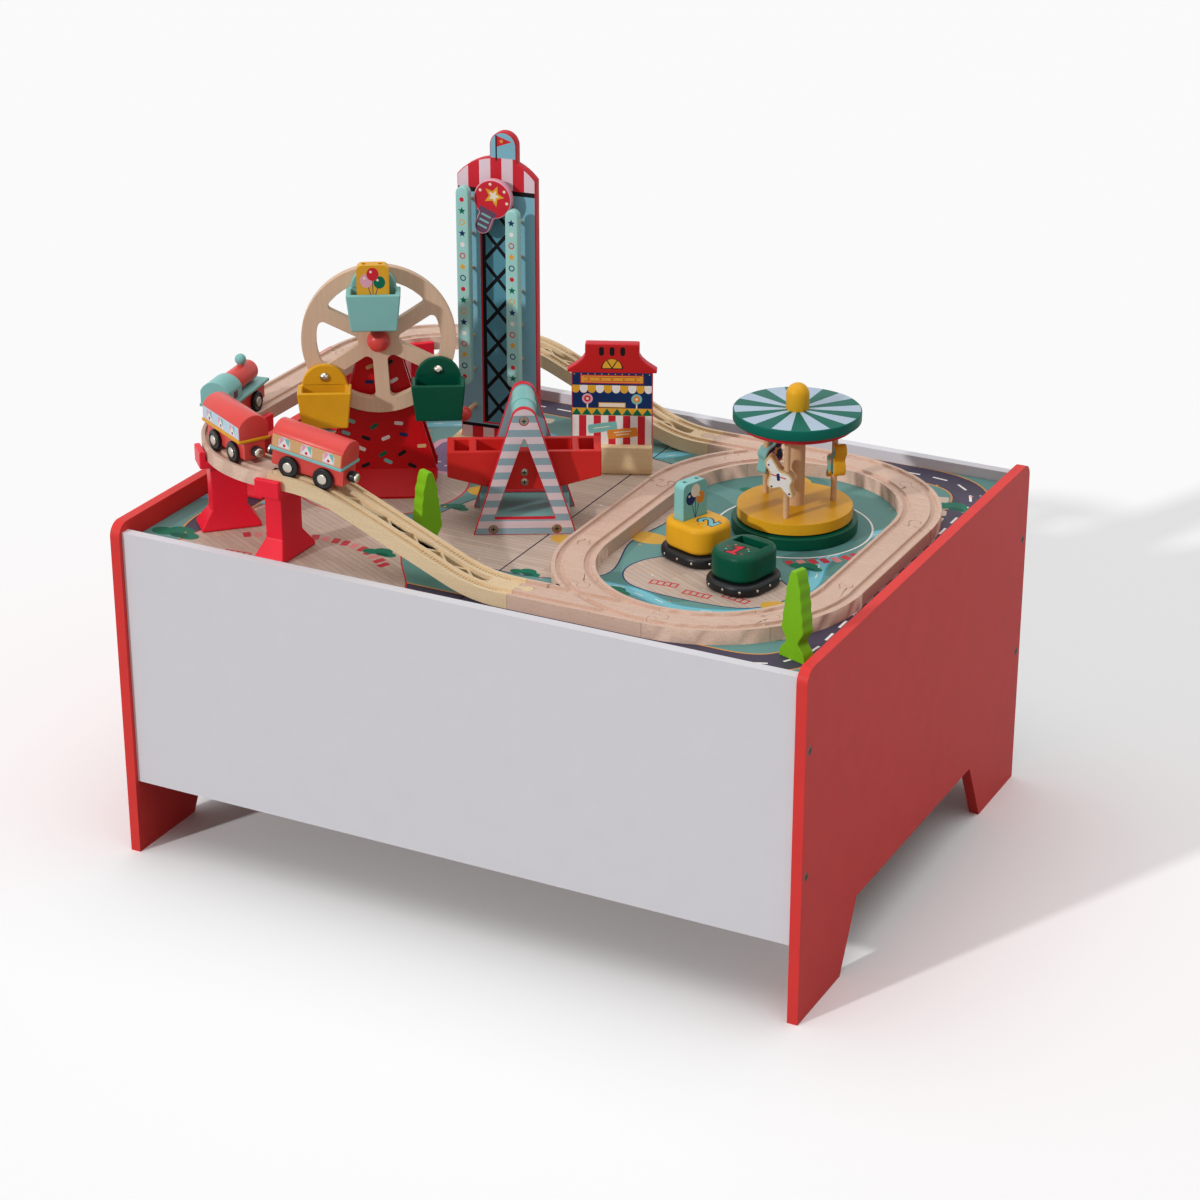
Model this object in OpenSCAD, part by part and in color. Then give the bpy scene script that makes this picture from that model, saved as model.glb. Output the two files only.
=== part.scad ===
// Train table with a funfair play set, in millimetres.
// The origin is on the floor under the middle of the table: +X runs along its length, +Z is up.

/* [Table] */
// Overall length of the table
table_l = 618; // [600:2:680]
// Overall depth of the table
table_d = 471; // [455:1:540]
// Height of the end panels
table_h = 300; // [270:2:360]
// Thickness of the four panels
panel_t = 9; // [7:0.5:12]
// How far the end panels stand proud of the front and back panels
panel_proud = 4; // [2:0.5:8]
// Drop from the top of the end panels to the rim of the front panel
rim_drop = 8; // [4:1:14]
// Height of the front and back panels
side_h = 226; // [170:2:232]
// Radius of the end panels' top corners
corner_r = 12; // [4:1:25]
// Length of one foot of an end panel on the floor
foot_l = 82; // [60:1:110]
// How much longer a leg is where it meets the arch
foot_slant = 30; // [10:1:45]
// Height of the arch between the legs
arch_h = 58; // [30:1:62]
// Thickness of the play board
board_t = 6; // [4:0.5:9]
// Depth of the play board below the rim
board_drop = 9; // [6:1:20]
// Side of the square cleats that carry the board
cleat_s = 12; // [8:1:20]
// Width of the rail under the seam of the board
seam_rail_w = 30; // [20:1:60]
// Gap round each half of the board
board_gap = 0.5; // [0.2:0.1:1.5]

/* [Screws] */
// Radius of a screw head
screw_head_r = 3.6; // [2.8:0.1:4.2]
// Height of a screw head
screw_head_h = 1.6; // [1:0.1:2.5]
// Radius of a screw shank
screw_r = 1.6; // [1:0.1:2]
// Length of a screw below its head
screw_l = 17; // [14:1:24]
// Play round a screw
screw_play = 0.1; // [0.05:0.05:0.2]
// Height of the lower panel screws above the floor
screw_low_z = 126; // [90:1:150]
// Height of the upper panel screws above the floor
screw_high_z = 232; // [180:1:250]

/* [Track] */
// Width of the track
track_w = 35; // [33:1:40]
// Height of the track
track_h = 12; // [10:0.5:14]
// Width of one wheel groove
groove_w = 6.4; // [5.8:0.1:7]
// Depth of the wheel grooves
groove_d = 2.6; // [2:0.1:3.4]
// Distance between the middles of the two grooves
groove_gauge = 22.6; // [21:0.1:24]
// Radius of the low curves, to the middle of the track
loop_r = 110.5; // [104:0.5:112]
// Radius of the bridge's curves, to the middle of the track
bridge_r = 98; // [95:0.5:104]
// Gap between the inside of a side panel and the middle of its line of track, on average
line_clear = 40.5; // [38.5:0.5:44.5]
// Length of the straight branch of a switch
switch_l = 116; // [106:1:120]
// Middle of the loop at the right, along X
loop_x = 157; // [154:1:160]
// Middle of the bridge loop at the left, along X
bridge_x = -176; // [-178:1:-172]
// Middle of both loops, along Y
loop_y = -4; // [-8:1:4]
// Gap between two pieces of track
joint_gap = 0.3; // [0.2:0.1:0.6]
// Height of the bridge above the low track
bridge_rise = 61; // [52:1:64]
// Radius of the head of a joining peg
peg_r = 5; // [4:0.1:5.4]
// Width of the neck of a joining peg
peg_neck = 5; // [3:0.5:7]
// Distance from the track's end to the middle of the peg's head
peg_reach = 9; // [7:0.5:11]
// Play round a joining peg
peg_play = 0.4; // [0.2:0.1:0.6]
// Steepest slope of the ramps, in degrees
ramp_slope = 23; // [22:0.5:25]
// Level length at the high end of a ramp
ramp_flat = 16; // [14:1:18]
// Level length at the low end of a ramp
ramp_tail = 8; // [6:1:10]
// Width of the open lattice in a ramp
lattice_w = 10; // [6:0.5:11]
// Thickness of a bar of the lattice
lattice_bar = 2.2; // [1.4:0.1:3]
// Closed length at each end of the lattice
lattice_end = 24; // [22:1:40]
// Count of bars in one lattice
lattice_n = 14; // [8:1:20]

/* [Bridge piers] */
// Width of a pier along the track
pier_w = 23; // [16:1:24]
// Thickness of a pier's side lug
pier_lug_t = 5; // [2.5:0.5:6]
// Height of a lug above the saddle
pier_lug_h = 9; // [5:0.5:11]
// Play between the track and a lug
pier_play = 1.2; // [0.9:0.1:2]
// Thickness of the saddle under the track
saddle_t = 6; // [4:0.5:9]
// Width of the pier's column along the track
column_w = 16; // [10:1:20]
// Width of the pier's column across the track
column_d = 30; // [20:1:36]
// Width of the pier's foot along the track
pier_foot_w = 27; // [22:1:32]
// Width of the pier's foot across the track
pier_foot_d = 50; // [40:1:54]
// Thickness of the foot's edge
pier_foot_t = 3; // [2:0.5:5]
// Height at which the foot has narrowed to the column
pier_flare_h = 17; // [10:1:22]

/* [Ferris wheel] */
// Middle of the stand, along X
ferris_x = -179.5; // [-186:0.5:-176]
// Middle of the stand, along Y
ferris_y = -19.6; // [-24:0.1:-14]
// Turn of the wheel about the vertical, in degrees
ferris_yaw = 30; // [26:1:34]
// Height of the hub above the board
hub_z = 136; // [130:1:142]
// Radius of the wheel
wheel_r = 64; // [62:0.5:68]
// Thickness of the wheel
wheel_t = 8; // [6:0.5:9]
// Width of the wheel's rim
rim_w = 12.5; // [9:0.5:15]
// Radius of the wheel's hub
wheel_hub_r = 17; // [14:0.5:20]
// Width of a spoke
spoke_w = 12; // [8:0.5:14]
// Radius of the corners of the wheel's windows
window_r = 4; // [2:0.5:5]
// Count of spokes, two to each gondola
spoke_n = 6; // [6:6:6]
// Turn of the wheel in its own plane, in degrees
wheel_phase = 93; // [80:1:110]
// Distance from the stand's middle to the back of the wheel
wheel_back = 15; // [14:0.5:18]
// Running gap beside the wheel and the gondolas
wheel_gap = 0.4; // [0.3:0.1:0.8]
// Radius of the axle
ferris_axle_r = 3; // [2:0.1:4]
// Running play round an axle or pin
axle_play = 0.05; // [0.02:0.01:0.1]
// Radius of the round knob on the axle
knob_r = 9.5; // [7:0.5:10]
// Width of the stand's plates at the top
stand_top_w = 26; // [22:1:30]
// Width of the stand's plates at the foot
stand_foot_w = 93; // [80:1:110]
// Thickness of the stand's plates
stand_t = 4; // [3:0.5:5]
// Half the depth of the stand just above its flared feet
stand_half_d = 13; // [11:0.5:14]
// Half the depth of the stand at the top
stand_top_d = 3; // [1:0.5:6]
// Half the depth of the stand on the board
stand_reach = 38; // [32:1:44]
// Height of the flared feet
flare_h = 15; // [10:1:20]
// Radius of the boss that holds the axle
boss_r = 12; // [9:0.5:14]

/* [Gondolas] */
// Radius at which the gondolas hang
pin_circle_r = 54.5; // [54:0.5:56]
// Radius of a gondola pin
pin_r = 2; // [1.5:0.1:2.5]
// Radius of the domed head of a pin
pin_head_r = 4.3; // [3:0.1:5]
// Height of the domed head of a pin
pin_head_h = 2.6; // [1.5:0.1:3]
// Radius of the gondola's round back plate
gondola_disc_r = 19; // [17:0.5:20]
// Height of the back plate above the pin
gondola_top = 10.5; // [8:0.5:12]
// Thickness of the gondola's walls
gondola_wall = 4; // [3:0.5:5]
// Thickness of the gondola's back plate
gondola_back_t = 5; // [4:0.5:6]
// Width of the tray at its rim
tray_top_w = 45; // [42:1:46]
// Width of the tray at its floor
tray_floor_w = 38; // [36.5:0.5:39]
// Drop from the pin to the tray's rim
tray_rim_drop = 8; // [6:0.5:10]
// Height of the tray
tray_h = 31; // [28:0.5:31.5]
// Inside depth of the tray
tray_in_d = 15; // [14.5:0.5:17]
// Width of a rider block
rider_w = 26.5; // [22:0.5:28]
// Height of a rider block
rider_h = 51; // [44:1:56]
// Thickness of a rider block
rider_t = 10.5; // [9:0.5:11.5]
// Radius of a rider block's upper corners
rider_r = 5; // [2:0.5:8]
// Radius of the two holes in a rider block's top
rider_hole_r = 2; // [1:0.1:2.5]
// Depth of the two holes in a rider block's top
rider_hole_d = 8; // [4:0.5:12]
// Gap between a rider block and its seat
seat_gap = 0.3; // [0.2:0.1:0.5]

/* [Drop tower] */
// Middle of the tower's front face, along X
tower_x = -122.4; // [-126:0.1:-118]
// Middle of the tower's front face, along Y
tower_y = 82; // [76:0.5:90]
// Turn of the tower about the vertical, in degrees
tower_yaw = 6.5; // [0:0.5:10]
// Width of the tower's panel
tower_w = 71; // [69:0.5:78]
// Thickness of the tower's panel
tower_t = 9; // [8:0.5:12]
// Height of the tower's shoulders above the board
shoulder_z = 249.5; // [246:0.5:260]
// Height of the crown above the shoulders
crown_h = 17; // [12:0.5:24]
// Height of the tower's tab above the board
tab_z = 289; // [286:1:300]
// Width of the tab at the top
tab_w = 24; // [18:1:30]
// Offset of the tab to the right of the middle
tab_shift = 6.5; // [-8:0.5:8]
// Distance between the middles of the two rails
rail_gauge = 44.6; // [44.4:0.1:48]
// Width of a rail
rail_w = 11.5; // [9:0.5:13]
// Thickness of a rail
rail_t = 8; // [6:0.5:9]
// Gap between the panel and the rails
rail_stand_off = 14; // [12:0.5:16]
// Height of the left rail's foot above the board
left_rail_z = 69; // [66:1:72]
// Height of the left rail's top above the board
left_rail_top = 245; // [238:1:248]
// Height of the right rail's foot above the board
right_rail_z = 72; // [66:1:80]
// Height of the right rail's top above the board
right_rail_top = 229; // [224:1:240]
// Radius of the pegs that carry the rails
rail_peg_r = 1.5; // [1:0.1:1.5]
// Distance between the pegs of one rail
rail_peg_pitch = 30.5; // [24:0.5:31]
// Depth of the pegs in the panel
rail_peg_seat = 5; // [3:0.5:7]
// Height of the two ball knobs above the board
ball_z = 44; // [38:1:48]
// Radius of a ball knob
ball_r = 6.5; // [5:0.5:8]
// Radius of a ball knob's dowel
ball_dowel_r = 2.2; // [1.5:0.1:3]
// Distance from the panel to the middle of a ball knob
ball_reach = 25; // [18:1:30]
// Height of the tumbler's middle at the top of its drop
tumbler_z = 229; // [220:1:232]
// Tilt of the tumbler, in degrees
tumbler_tilt = -22; // [-26:1:-18]
// Radius of the tumbler's round wings
tumbler_wing_r = 17; // [15:0.5:18]
// Length of the tumbler's tail below the wings' middle
tumbler_tail = 27; // [20:0.5:28]
// Width of the tumbler's tail
tumbler_tail_w = 14; // [10:0.5:16]
// Thickness of the tumbler
tumbler_t = 6; // [4:0.5:7]

/* [Stand blocks] */
// Width of the tower's block
tower_block_w = 84; // [80:1:92]
// Depth of the tower's block
tower_block_d = 40; // [30:1:50]
// Height of the tower's block
tower_block_h = 14; // [10:1:20]
// Wood left under a slot in a block
block_floor = 4; // [3:0.5:6]
// Play of a panel in its block
slot_play = 0.1; // [0.05:0.05:0.3]
// Depth of the booth's block
booth_block_d = 26; // [20:1:34]
// Height of the booth's block
booth_block_h = 26; // [20:1:27]
// Height of the sloped lower edge of the booth's block
booth_chamfer = 7; // [3:0.5:8]

/* [Swing ship] */
// Middle of the ship, along X
ship_x = -32.9; // [-36:0.1:-30]
// Middle of the ship, along Y
ship_y = -37.5; // [-40:0.5:-30]
// Turn of the ship about the vertical, in degrees
ship_yaw = 29; // [26:1:32]
// Width of the frames on the board
frame_w = 84; // [78:1:90]
// Height of the frames
frame_h = 110; // [106:1:116]
// Radius of the frames' round tops
frame_top_r = 10.5; // [8:0.5:12]
// Thickness of a frame
frame_t = 6; // [5:0.5:8]
// Depth of the ship over both frames
frame_depth = 66; // [62:1:70]
// Height of the window in a frame
window_top = 85; // [80:1:86]
// Height of the frames' cross bar
frame_bar_h = 14; // [12:0.5:18]
// Width of the window at the cross bar
window_w = 50; // [40:1:52]
// Height of the ship's axle above the board
ship_axle_z = 99; // [98:0.5:102]
// Radius of the ship's axle
ship_axle_r = 4; // [3:0.1:5]
// Thickness of the ship's base board
ship_base_t = 13; // [9:0.5:13.5]
// Height of the screws in the base board
ship_screw_z = 5; // [4.5:0.5:6.5]
// Half the distance between the screws in the base board
ship_screw_x = 26; // [20:1:32]
// Width of the hanger
hanger_w = 21; // [16:0.5:22]
// Thickness of the hanger's bar
hanger_t = 12; // [8:0.5:14]
// Length of the hull
hull_l = 126; // [116:1:130]
// Depth of the hull, across its length
hull_d = 36; // [30:1:40]
// Height of the hull's rim above the board
hull_rim_z = 67; // [64:0.5:70]
// Height of the hull at its ends
hull_end_h = 22; // [16:0.5:24]
// Height of the hull at its middle
hull_mid_h = 33; // [28:0.5:34]
// Length of the hull's level bottom
hull_keel_l = 44; // [30:1:60]
// Wall of the seats along the hull's sides
hull_wall = 5; // [3:0.5:7]
// Depth of the seats
seat_d = 15; // [8:0.5:16]
// Length of an end seat
end_seat_l = 12; // [8:0.5:13]
// Length of a middle seat
mid_seat_l = 24; // [16:0.5:25]
// Wood between the seats and at the hull's ends
seat_rib = 6; // [4:0.5:6.5]

/* [Ticket booth] */
// Middle of the booth's front face, along X
booth_x = -16.9; // [-22:0.1:-12]
// Middle of the booth's front face, along Y
booth_y = 90; // [84:0.5:96]
// Turn of the booth about the vertical, in degrees
booth_yaw = 24; // [18:1:30]
// Width of the booth's wall
booth_w = 69; // [60:1:76]
// Thickness of the booth
booth_t = 10; // [8:0.5:12]
// Width of the booth's eaves
eaves_w = 76; // [70:1:84]
// Height of the eaves above the board
eaves_z = 93; // [86:1:100]
// Width of the block on the roof
roof_block_w = 46; // [36:1:56]
// Height of the foot of the roof's block
roof_block_z = 106; // [102:1:112]
// Height of the booth above the board
booth_z = 116; // [114:1:126]
// Thickness of the eaves' edge
eaves_edge = 2.5; // [1:0.5:4]

/* [Carousel] */
// Middle of the carousel, along X
carousel_x = 172.3; // [168:0.1:176]
// Middle of the carousel, along Y
carousel_y = 49.2; // [44:0.1:54]
// Radius of the fixed base
carousel_base_r = 52; // [49:0.5:54]
// Height of the fixed base
carousel_base_h = 10.5; // [8:0.5:12]
// Radius of the turntable
turntable_r = 47.5; // [44:0.5:48.5]
// Thickness of the turntable
turntable_t = 9.6; // [7:0.2:11]
// Shadow gap under the turntable
turntable_gap = 1.4; // [1:0.1:2]
// Running gap under the turntable's boss
turntable_play = 0.3; // [0.2:0.1:0.5]
// Radius of the turntable's boss
turntable_boss_r = 20; // [12:0.5:24]
// Radius of the column
column_r = 7.5; // [6:0.5:9]
// Radius of the spigots at both ends of the column
spigot_r = 5; // [3:0.5:5.5]
// Depth of the lower spigot in the base
spigot_d = 7.5; // [5:0.5:7.5]
// Radius of the canopy
canopy_r = 52.4; // [49:0.2:54]
// Thickness of the canopy
canopy_t = 9; // [7:0.5:11]
// Height of the canopy's top above the board
canopy_z = 104; // [100:1:110]
// Radius of the disc under the canopy
under_disc_r = 47; // [43:0.5:48.5]
// Thickness of the disc under the canopy
under_disc_t = 5; // [3:0.5:7]
// Radius of the finial
finial_r = 9.5; // [8:0.5:12]
// Height of the finial
finial_h = 22; // [20:0.5:30]
// Radius of the circle of poles
pole_circle_r = 33; // [30:0.5:35]
// Radius of a pole
pole_r = 2.5; // [1.8:0.1:3]
// Depth of the poles in the discs
pole_seat = 4; // [2:0.5:4.5]
// Turn of the first pole, in degrees
pole_phase = -79; // [-90:1:-60]
// Thickness of the animals
animal_t = 10; // [8:0.5:11]
// Height of the animals' middle above the turntable
animal_z = 36; // [30:0.5:42]
// Length of an animal
animal_l = 24; // [22:0.5:28]

/* [Bumper cars] */
// Middle of the yellow car, along X
yellow_car_x = 128; // [126:0.5:130]
// Middle of the yellow car, along Y
yellow_car_y = -42; // [-46:0.5:-40]
// Heading of the yellow car, in degrees
yellow_car_yaw = -20; // [-24:1:-16]
// Middle of the green car, along X
green_car_x = 184; // [182:0.5:188]
// Middle of the green car, along Y
green_car_y = -76; // [-80:0.5:-74]
// Heading of the green car, in degrees
green_car_yaw = -103; // [-107:1:-99]
// Length of a car's body
car_l = 50; // [46:0.5:52]
// Width of a car's body
car_w = 42; // [40:0.5:44]
// Radius of the car's corners
car_r = 16; // [10:0.5:19]
// Height of the body above the bumper
car_h = 23; // [20:0.5:26]
// How far the bumper stands out from the body
bumper_out = 4; // [2:0.5:4.5]
// Height of the bumper
bumper_h = 10; // [7:0.5:11]
// Distance from the car's middle back to the rider's slot
slot_back = 9; // [6:0.5:11]
// Depth of the rider's slot
slot_d = 21; // [14:0.5:21.5]
// Play round a rider in the slot
slot_gap = 0.6; // [0.4:0.1:1]

/* [Trees] */
// Height of a tree
tree_h = 72; // [66:1:78]
// Half the width of a tree's foliage
tree_half_w = 11; // [9:0.5:13]
// Thickness of a tree
tree_t = 11.5; // [8:0.5:13]
// Half the width of a tree's foot
tree_foot = 13; // [10:0.5:14]
// Depth of the waves along a tree's edge
tree_wave = 0.4; // [0.2:0.1:0.8]
// Distance of the inner tree from the front line of track
tree_line_gap = 49; // [46:0.5:56]
// Distance of the corner tree from the inside of the right end
tree_end_gap = 23; // [20:0.5:25]
// Distance of the corner tree from the inside of the front
tree_side_gap = 39.5; // [36:0.5:44]

/* [Train] */
// Radius of a train wheel
rail_wheel_r = 9.1; // [8.5:0.1:9.4]
// Width of a train wheel
rail_wheel_w = 3.4; // [2.8:0.1:3.6]
// Gap between a wheel and the floor of its groove
wheel_float = 0.3; // [0.2:0.05:0.4]
// Radius of the train's axles
train_axle_r = 1.3; // [1:0.1:1.6]
// Radius of the hub on a wheel
wheel_hub = 4; // [3:0.1:5]
// Height of the hub on a wheel
wheel_hub_h = 0.8; // [0.4:0.1:1.2]
// Distance between a coach's axles
coach_base = 32; // [28:0.5:34]
// Distance between the engine's axles
engine_base = 36; // [32:0.5:38]
// Length of a coach
coach_l = 66; // [62:0.5:68]
// Length of the engine
engine_l = 75; // [70:0.5:78]
// Width of the low body between the wheels
chassis_w = 18.2; // [15:0.1:18.4]
// Height of the low body above the track
chassis_lift = 4; // [3:0.5:4.5]
// Height of the low body
chassis_h = 15; // [13:0.5:16]
// Width of the trim plate
trim_w = 28; // [26:0.5:30]
// Thickness of the trim plate
trim_t = 2.5; // [1.5:0.1:3.5]
// Width of a cabin
cabin_w = 26; // [22:0.5:27]
// Height of a cabin's walls above the trim plate
cabin_wall = 11; // [8:0.5:14]
// Height of the roof's arch above the walls
roof_rise = 8.5; // [5:0.5:11]
// Length of the engine's cab
cab_l = 25; // [20:0.5:30]
// Radius of the engine's boiler
boiler_r = 9; // [7:0.5:10]
// Length of the engine's boiler
boiler_l = 42; // [36:0.5:44]
// Radius of the ball funnel
funnel_r = 4.8; // [4:0.1:6]
// Radius of the funnel's stem
funnel_stem_r = 2.2; // [1.5:0.1:3]
// Radius of a coupler
coupler_r = 4.5; // [3.5:0.1:5]
// Length of a coupler
coupler_l = 9; // [7:0.5:9.5]
// Depth of a coupler in the body
coupler_seat = 3; // [2:0.5:4]
// Place of the engine round the bridge curve, in degrees
engine_turn = -172; // [-173:0.1:-170]
// Place of the first coach round the bridge curve, in degrees
coach_turn = -120; // [-122:0.1:-118]
// Distance of the last coach's front axle from the top of the ramp's bend
ramp_axle = 0.6; // [0.4:0.1:2]

/* [Hidden] */
$fn = 48;
eps = 0.01;
cut = 1;
curve_step = 45;
ramp_steps = 40;

// Table
inner_l = table_l - 2 * panel_t;
side_y = table_d / 2 - panel_proud - panel_t;
side_z = table_h - rim_drop - side_h;
board_z = table_h - rim_drop - board_drop;
cleat_z = board_z - board_t - cleat_s;
screw_y = side_y + panel_t / 2;

// Track
line_half = side_y - line_clear;
straight_l = 2 * (line_half - loop_r);
bridge_l = 2 * (line_half - bridge_r);
front_line = loop_y - line_half;
back_line = loop_y + line_half;
front_y = front_line + loop_r;
back_y = back_line - loop_r;
bridge_front = front_line + bridge_r;
bridge_back = back_line - bridge_r;
bridge_z = board_z + bridge_rise;
ramp_l = loop_x - switch_l - bridge_x;
// A switch's curve runs a hair inside its straight branch, so that no two faces only graze
switch_r = loop_r - 0.1;
switch_over = 2;
ramp_run = ramp_l - ramp_flat - ramp_tail;
ramp_bend_r = (ramp_run * tan(ramp_slope) - bridge_rise) / (2 / cos(ramp_slope) - 2);
bend_run = ramp_bend_r * sin(ramp_slope);

// Ferris wheel
wheel_front = wheel_back + wheel_t;
gondola_y = -wheel_front - wheel_gap;
gondola_front = gondola_y - gondola_back_t;
stand_rise = hub_z - flare_h;
stand_lean = atan((stand_half_d - stand_top_d) / stand_rise);
gondola_turns = [0, 120, 240];

// Tower
panel_floor = block_floor;
crown_r = (pow(tower_w / 2, 2) + pow(crown_h, 2)) / (2 * crown_h);
rail_back = -rail_stand_off;
tumbler_y = rail_back + seat_gap + tumbler_t;

// Ship
frame_inner = frame_depth / 2 - frame_t;
hanger_floor = hull_rim_z - hull_mid_h + seat_rib;

// Carousel
turntable_z = carousel_base_h + turntable_gap;
deck_z = turntable_z + turntable_t;
under_disc_z = canopy_z - canopy_t - under_disc_t;

// Train
axle_z = rail_wheel_r + wheel_float - groove_d;
trim_z = chassis_lift + chassis_h;
cabin_z = trim_z + trim_t;
bridge_top = bridge_z + track_h;
ramp_turn = (ramp_axle + coach_base / 2) / ramp_bend_r * 180 / PI;
roof_r = (pow(cabin_w / 2, 2) + pow(roof_rise, 2)) / (2 * roof_rise);

// Shared shapes
module centred(size, z = 0) {
    translate([-size.x / 2, -size.y / 2, z]) cube(size);
}

module rounded_square(w, d, r) {
    square([w - 2 * r, d], center = true);
    square([w, d - 2 * r], center = true);
    for (sx = [-1, 1], sy = [-1, 1])
        translate([sx * (w / 2 - r), sy * (d / 2 - r)]) circle(r);
}

// Stands a flat outline up in the XZ plane, from y = 0 towards -Y
module upright(t) {
    rotate([90, 0, 0]) linear_extrude(t) children();
}

// A screw along +Z with the top of its head at z = 0
module screw() {
    translate([0, 0, -screw_head_h]) cylinder(r = screw_head_r, h = screw_head_h);
    translate([0, 0, -screw_head_h - screw_l]) cylinder(r = screw_r, h = screw_l + eps);
}

module screw_hole() {
    translate([0, 0, -screw_head_h]) cylinder(r = screw_head_r + screw_play, h = screw_head_h + cut);
    translate([0, 0, -screw_head_h - screw_l - screw_play])
        cylinder(r = screw_r + screw_play, h = screw_l + 2 * screw_play);
}

// Table
module at_panel_screws() {
    for (sx = [-1, 1], sy = [-1, 1], z = [screw_low_z, screw_high_z])
        translate([sx * table_l / 2, sy * screw_y, z]) rotate([0, sx * 90, 0]) children();
}

module side_panel(sy) {
    difference() {
        translate([-inner_l / 2, sy > 0 ? side_y : -side_y - panel_t, side_z])
            cube([inner_l, panel_t, side_h]);
        at_panel_screws() screw_hole();
    }
}

module front_panel() {
    color("gainsboro") side_panel(-1);
}

module back_panel() {
    color("gainsboro") side_panel(1);
}

module end_outline() {
    half_d = table_d / 2;
    arch = half_d - foot_l;
    difference() {
        union() {
            translate([-half_d, 0]) square([table_d, table_h - corner_r]);
            translate([-half_d + corner_r, 0]) square([table_d - 2 * corner_r, table_h]);
            for (s = [-1, 1]) translate([s * (half_d - corner_r), table_h - corner_r]) circle(corner_r);
        }
        polygon([
            [-arch, -cut], [-arch, 0], [-arch + foot_slant, arch_h],
            [arch - foot_slant, arch_h], [arch, 0], [arch, -cut]
        ]);
    }
}

module end_panel(sx) {
    difference() {
        translate([sx > 0 ? table_l / 2 - panel_t : -table_l / 2, 0, 0])
            rotate([90, 0, 90]) linear_extrude(panel_t) end_outline();
        at_panel_screws() screw_hole();
    }
}

module left_end_panel() {
    color("indianred") end_panel(-1);
}

module right_end_panel() {
    color("indianred") end_panel(1);
}

module board_half(sx) {
    half_l = inner_l / 2 - 1.5 * board_gap;
    translate([sx * (inner_l / 4 - board_gap / 4), 0, 0])
        centred([half_l, 2 * side_y - 2 * board_gap, board_t], board_z - board_t);
}

module play_board_left() {
    color("cadetblue") board_half(-1);
}

module play_board_right() {
    color("cadetblue") board_half(1);
}

module board_cleats() {
    between = 2 * side_y - 2 * cleat_s - board_gap;
    color("burlywood") {
        for (s = [-1, 1]) {
            translate([0, s * (side_y - cleat_s / 2), 0]) centred([inner_l, cleat_s, cleat_s], cleat_z);
            translate([s * (inner_l - cleat_s) / 2, 0, 0]) centred([cleat_s, between, cleat_s], cleat_z);
        }
        centred([seam_rail_w, between, cleat_s], cleat_z);
    }
}

module wood_screws() {
    color("dimgray") {
        at_panel_screws() screw();
        at_ship() at_frame_screws() screw();
    }
}

// Track
module groove_outline() {
    for (s = [-1, 1])
        translate([s * groove_gauge / 2 - groove_w / 2, track_h - groove_d]) square([groove_w, groove_d + cut]);
}

module track_outline() {
    difference() {
        translate([-track_w / 2, 0]) square([track_w, track_h]);
        groove_outline();
    }
}

// A joining peg that reaches along +Y from the end of a piece
module peg() {
    translate([-peg_neck / 2, -cut, 0]) cube([peg_neck, peg_reach + cut, track_h]);
    translate([0, peg_reach, 0]) cylinder(r = peg_r, h = track_h);
}

// The hole for a peg that comes in along +Y, with the gap at the end of the piece
module socket() {
    neck = peg_neck + 2 * peg_play;
    translate([-track_w, -cut, -cut]) cube([2 * track_w, cut + joint_gap, track_h + 2 * cut]);
    translate([-neck / 2, -cut, -cut]) cube([neck, peg_reach + cut, track_h + 2 * cut]);
    translate([0, peg_reach, -cut]) cylinder(r = peg_r + peg_play, h = track_h + 2 * cut);
}

module curve_track(r) {
    difference() {
        union() {
            rotate_extrude(angle = curve_step) translate([r, 0]) track_outline();
            rotate(curve_step) translate([r, 0, 0]) peg();
        }
        translate([r, 0, 0]) socket();
    }
}

module along_y(l) {
    translate([0, l, 0]) rotate([90, 0, 0]) linear_extrude(l) children();
}

module straight_track(l) {
    difference() {
        union() {
            along_y(l) track_outline();
            translate([0, l, 0]) peg();
        }
        socket();
    }
}

// The body of a switch whose curve and straight branch meet at the bottom of the loop. Both
// run on past the end and are cut off together there.
module switch_body() {
    arc_start = 270 - curve_step;
    arc_turn = curve_step + switch_over;
    run = switch_l + switch_over;
    difference() {
        union() {
            rotate(arc_start) rotate_extrude(angle = arc_turn)
                translate([switch_r - track_w / 2, 0]) square([track_w, track_h]);
            translate([-switch_l, -loop_r - track_w / 2, 0]) cube([run, track_w, track_h]);
        }
        rotate(arc_start) rotate_extrude(angle = arc_turn) translate([switch_r, 0]) groove_outline();
        translate([-switch_l, -loop_r, 0]) rotate(-90) along_y(run) groove_outline();
        translate([0, -loop_r - track_w, -cut]) cube([track_w, 2 * track_w, track_h + 2 * cut]);
    }
}

module front_switch() {
    difference() {
        union() {
            switch_body();
            rotate(270) translate([loop_r, 0, 0]) peg();
        }
        rotate(270 - curve_step) translate([loop_r, 0, 0]) socket();
        translate([-switch_l, -loop_r, 0]) rotate(-90) socket();
    }
}

module back_switch() {
    difference() {
        union() {
            mirror([0, 1, 0]) switch_body();
            rotate(90 + curve_step) translate([loop_r, 0, 0]) peg();
            translate([-switch_l, loop_r, 0]) rotate(90) peg();
        }
        rotate(90) translate([loop_r, 0, 0]) socket();
    }
}

module track_switches() {
    color("burlywood") {
        translate([loop_x, front_y, board_z]) front_switch();
        translate([loop_x, back_y, board_z]) back_switch();
    }
}

module track_curves() {
    color("burlywood") {
        for (a = [-90, -45, 180]) translate([loop_x, front_y, board_z]) rotate(a) curve_track(loop_r);
        for (a = [0, 45, 135]) translate([loop_x, back_y, board_z]) rotate(a) curve_track(loop_r);
        for (a = [180, 225]) translate([bridge_x, bridge_front, bridge_z]) rotate(a) curve_track(bridge_r);
        for (a = [90, 135]) translate([bridge_x, bridge_back, bridge_z]) rotate(a) curve_track(bridge_r);
    }
}

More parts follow.
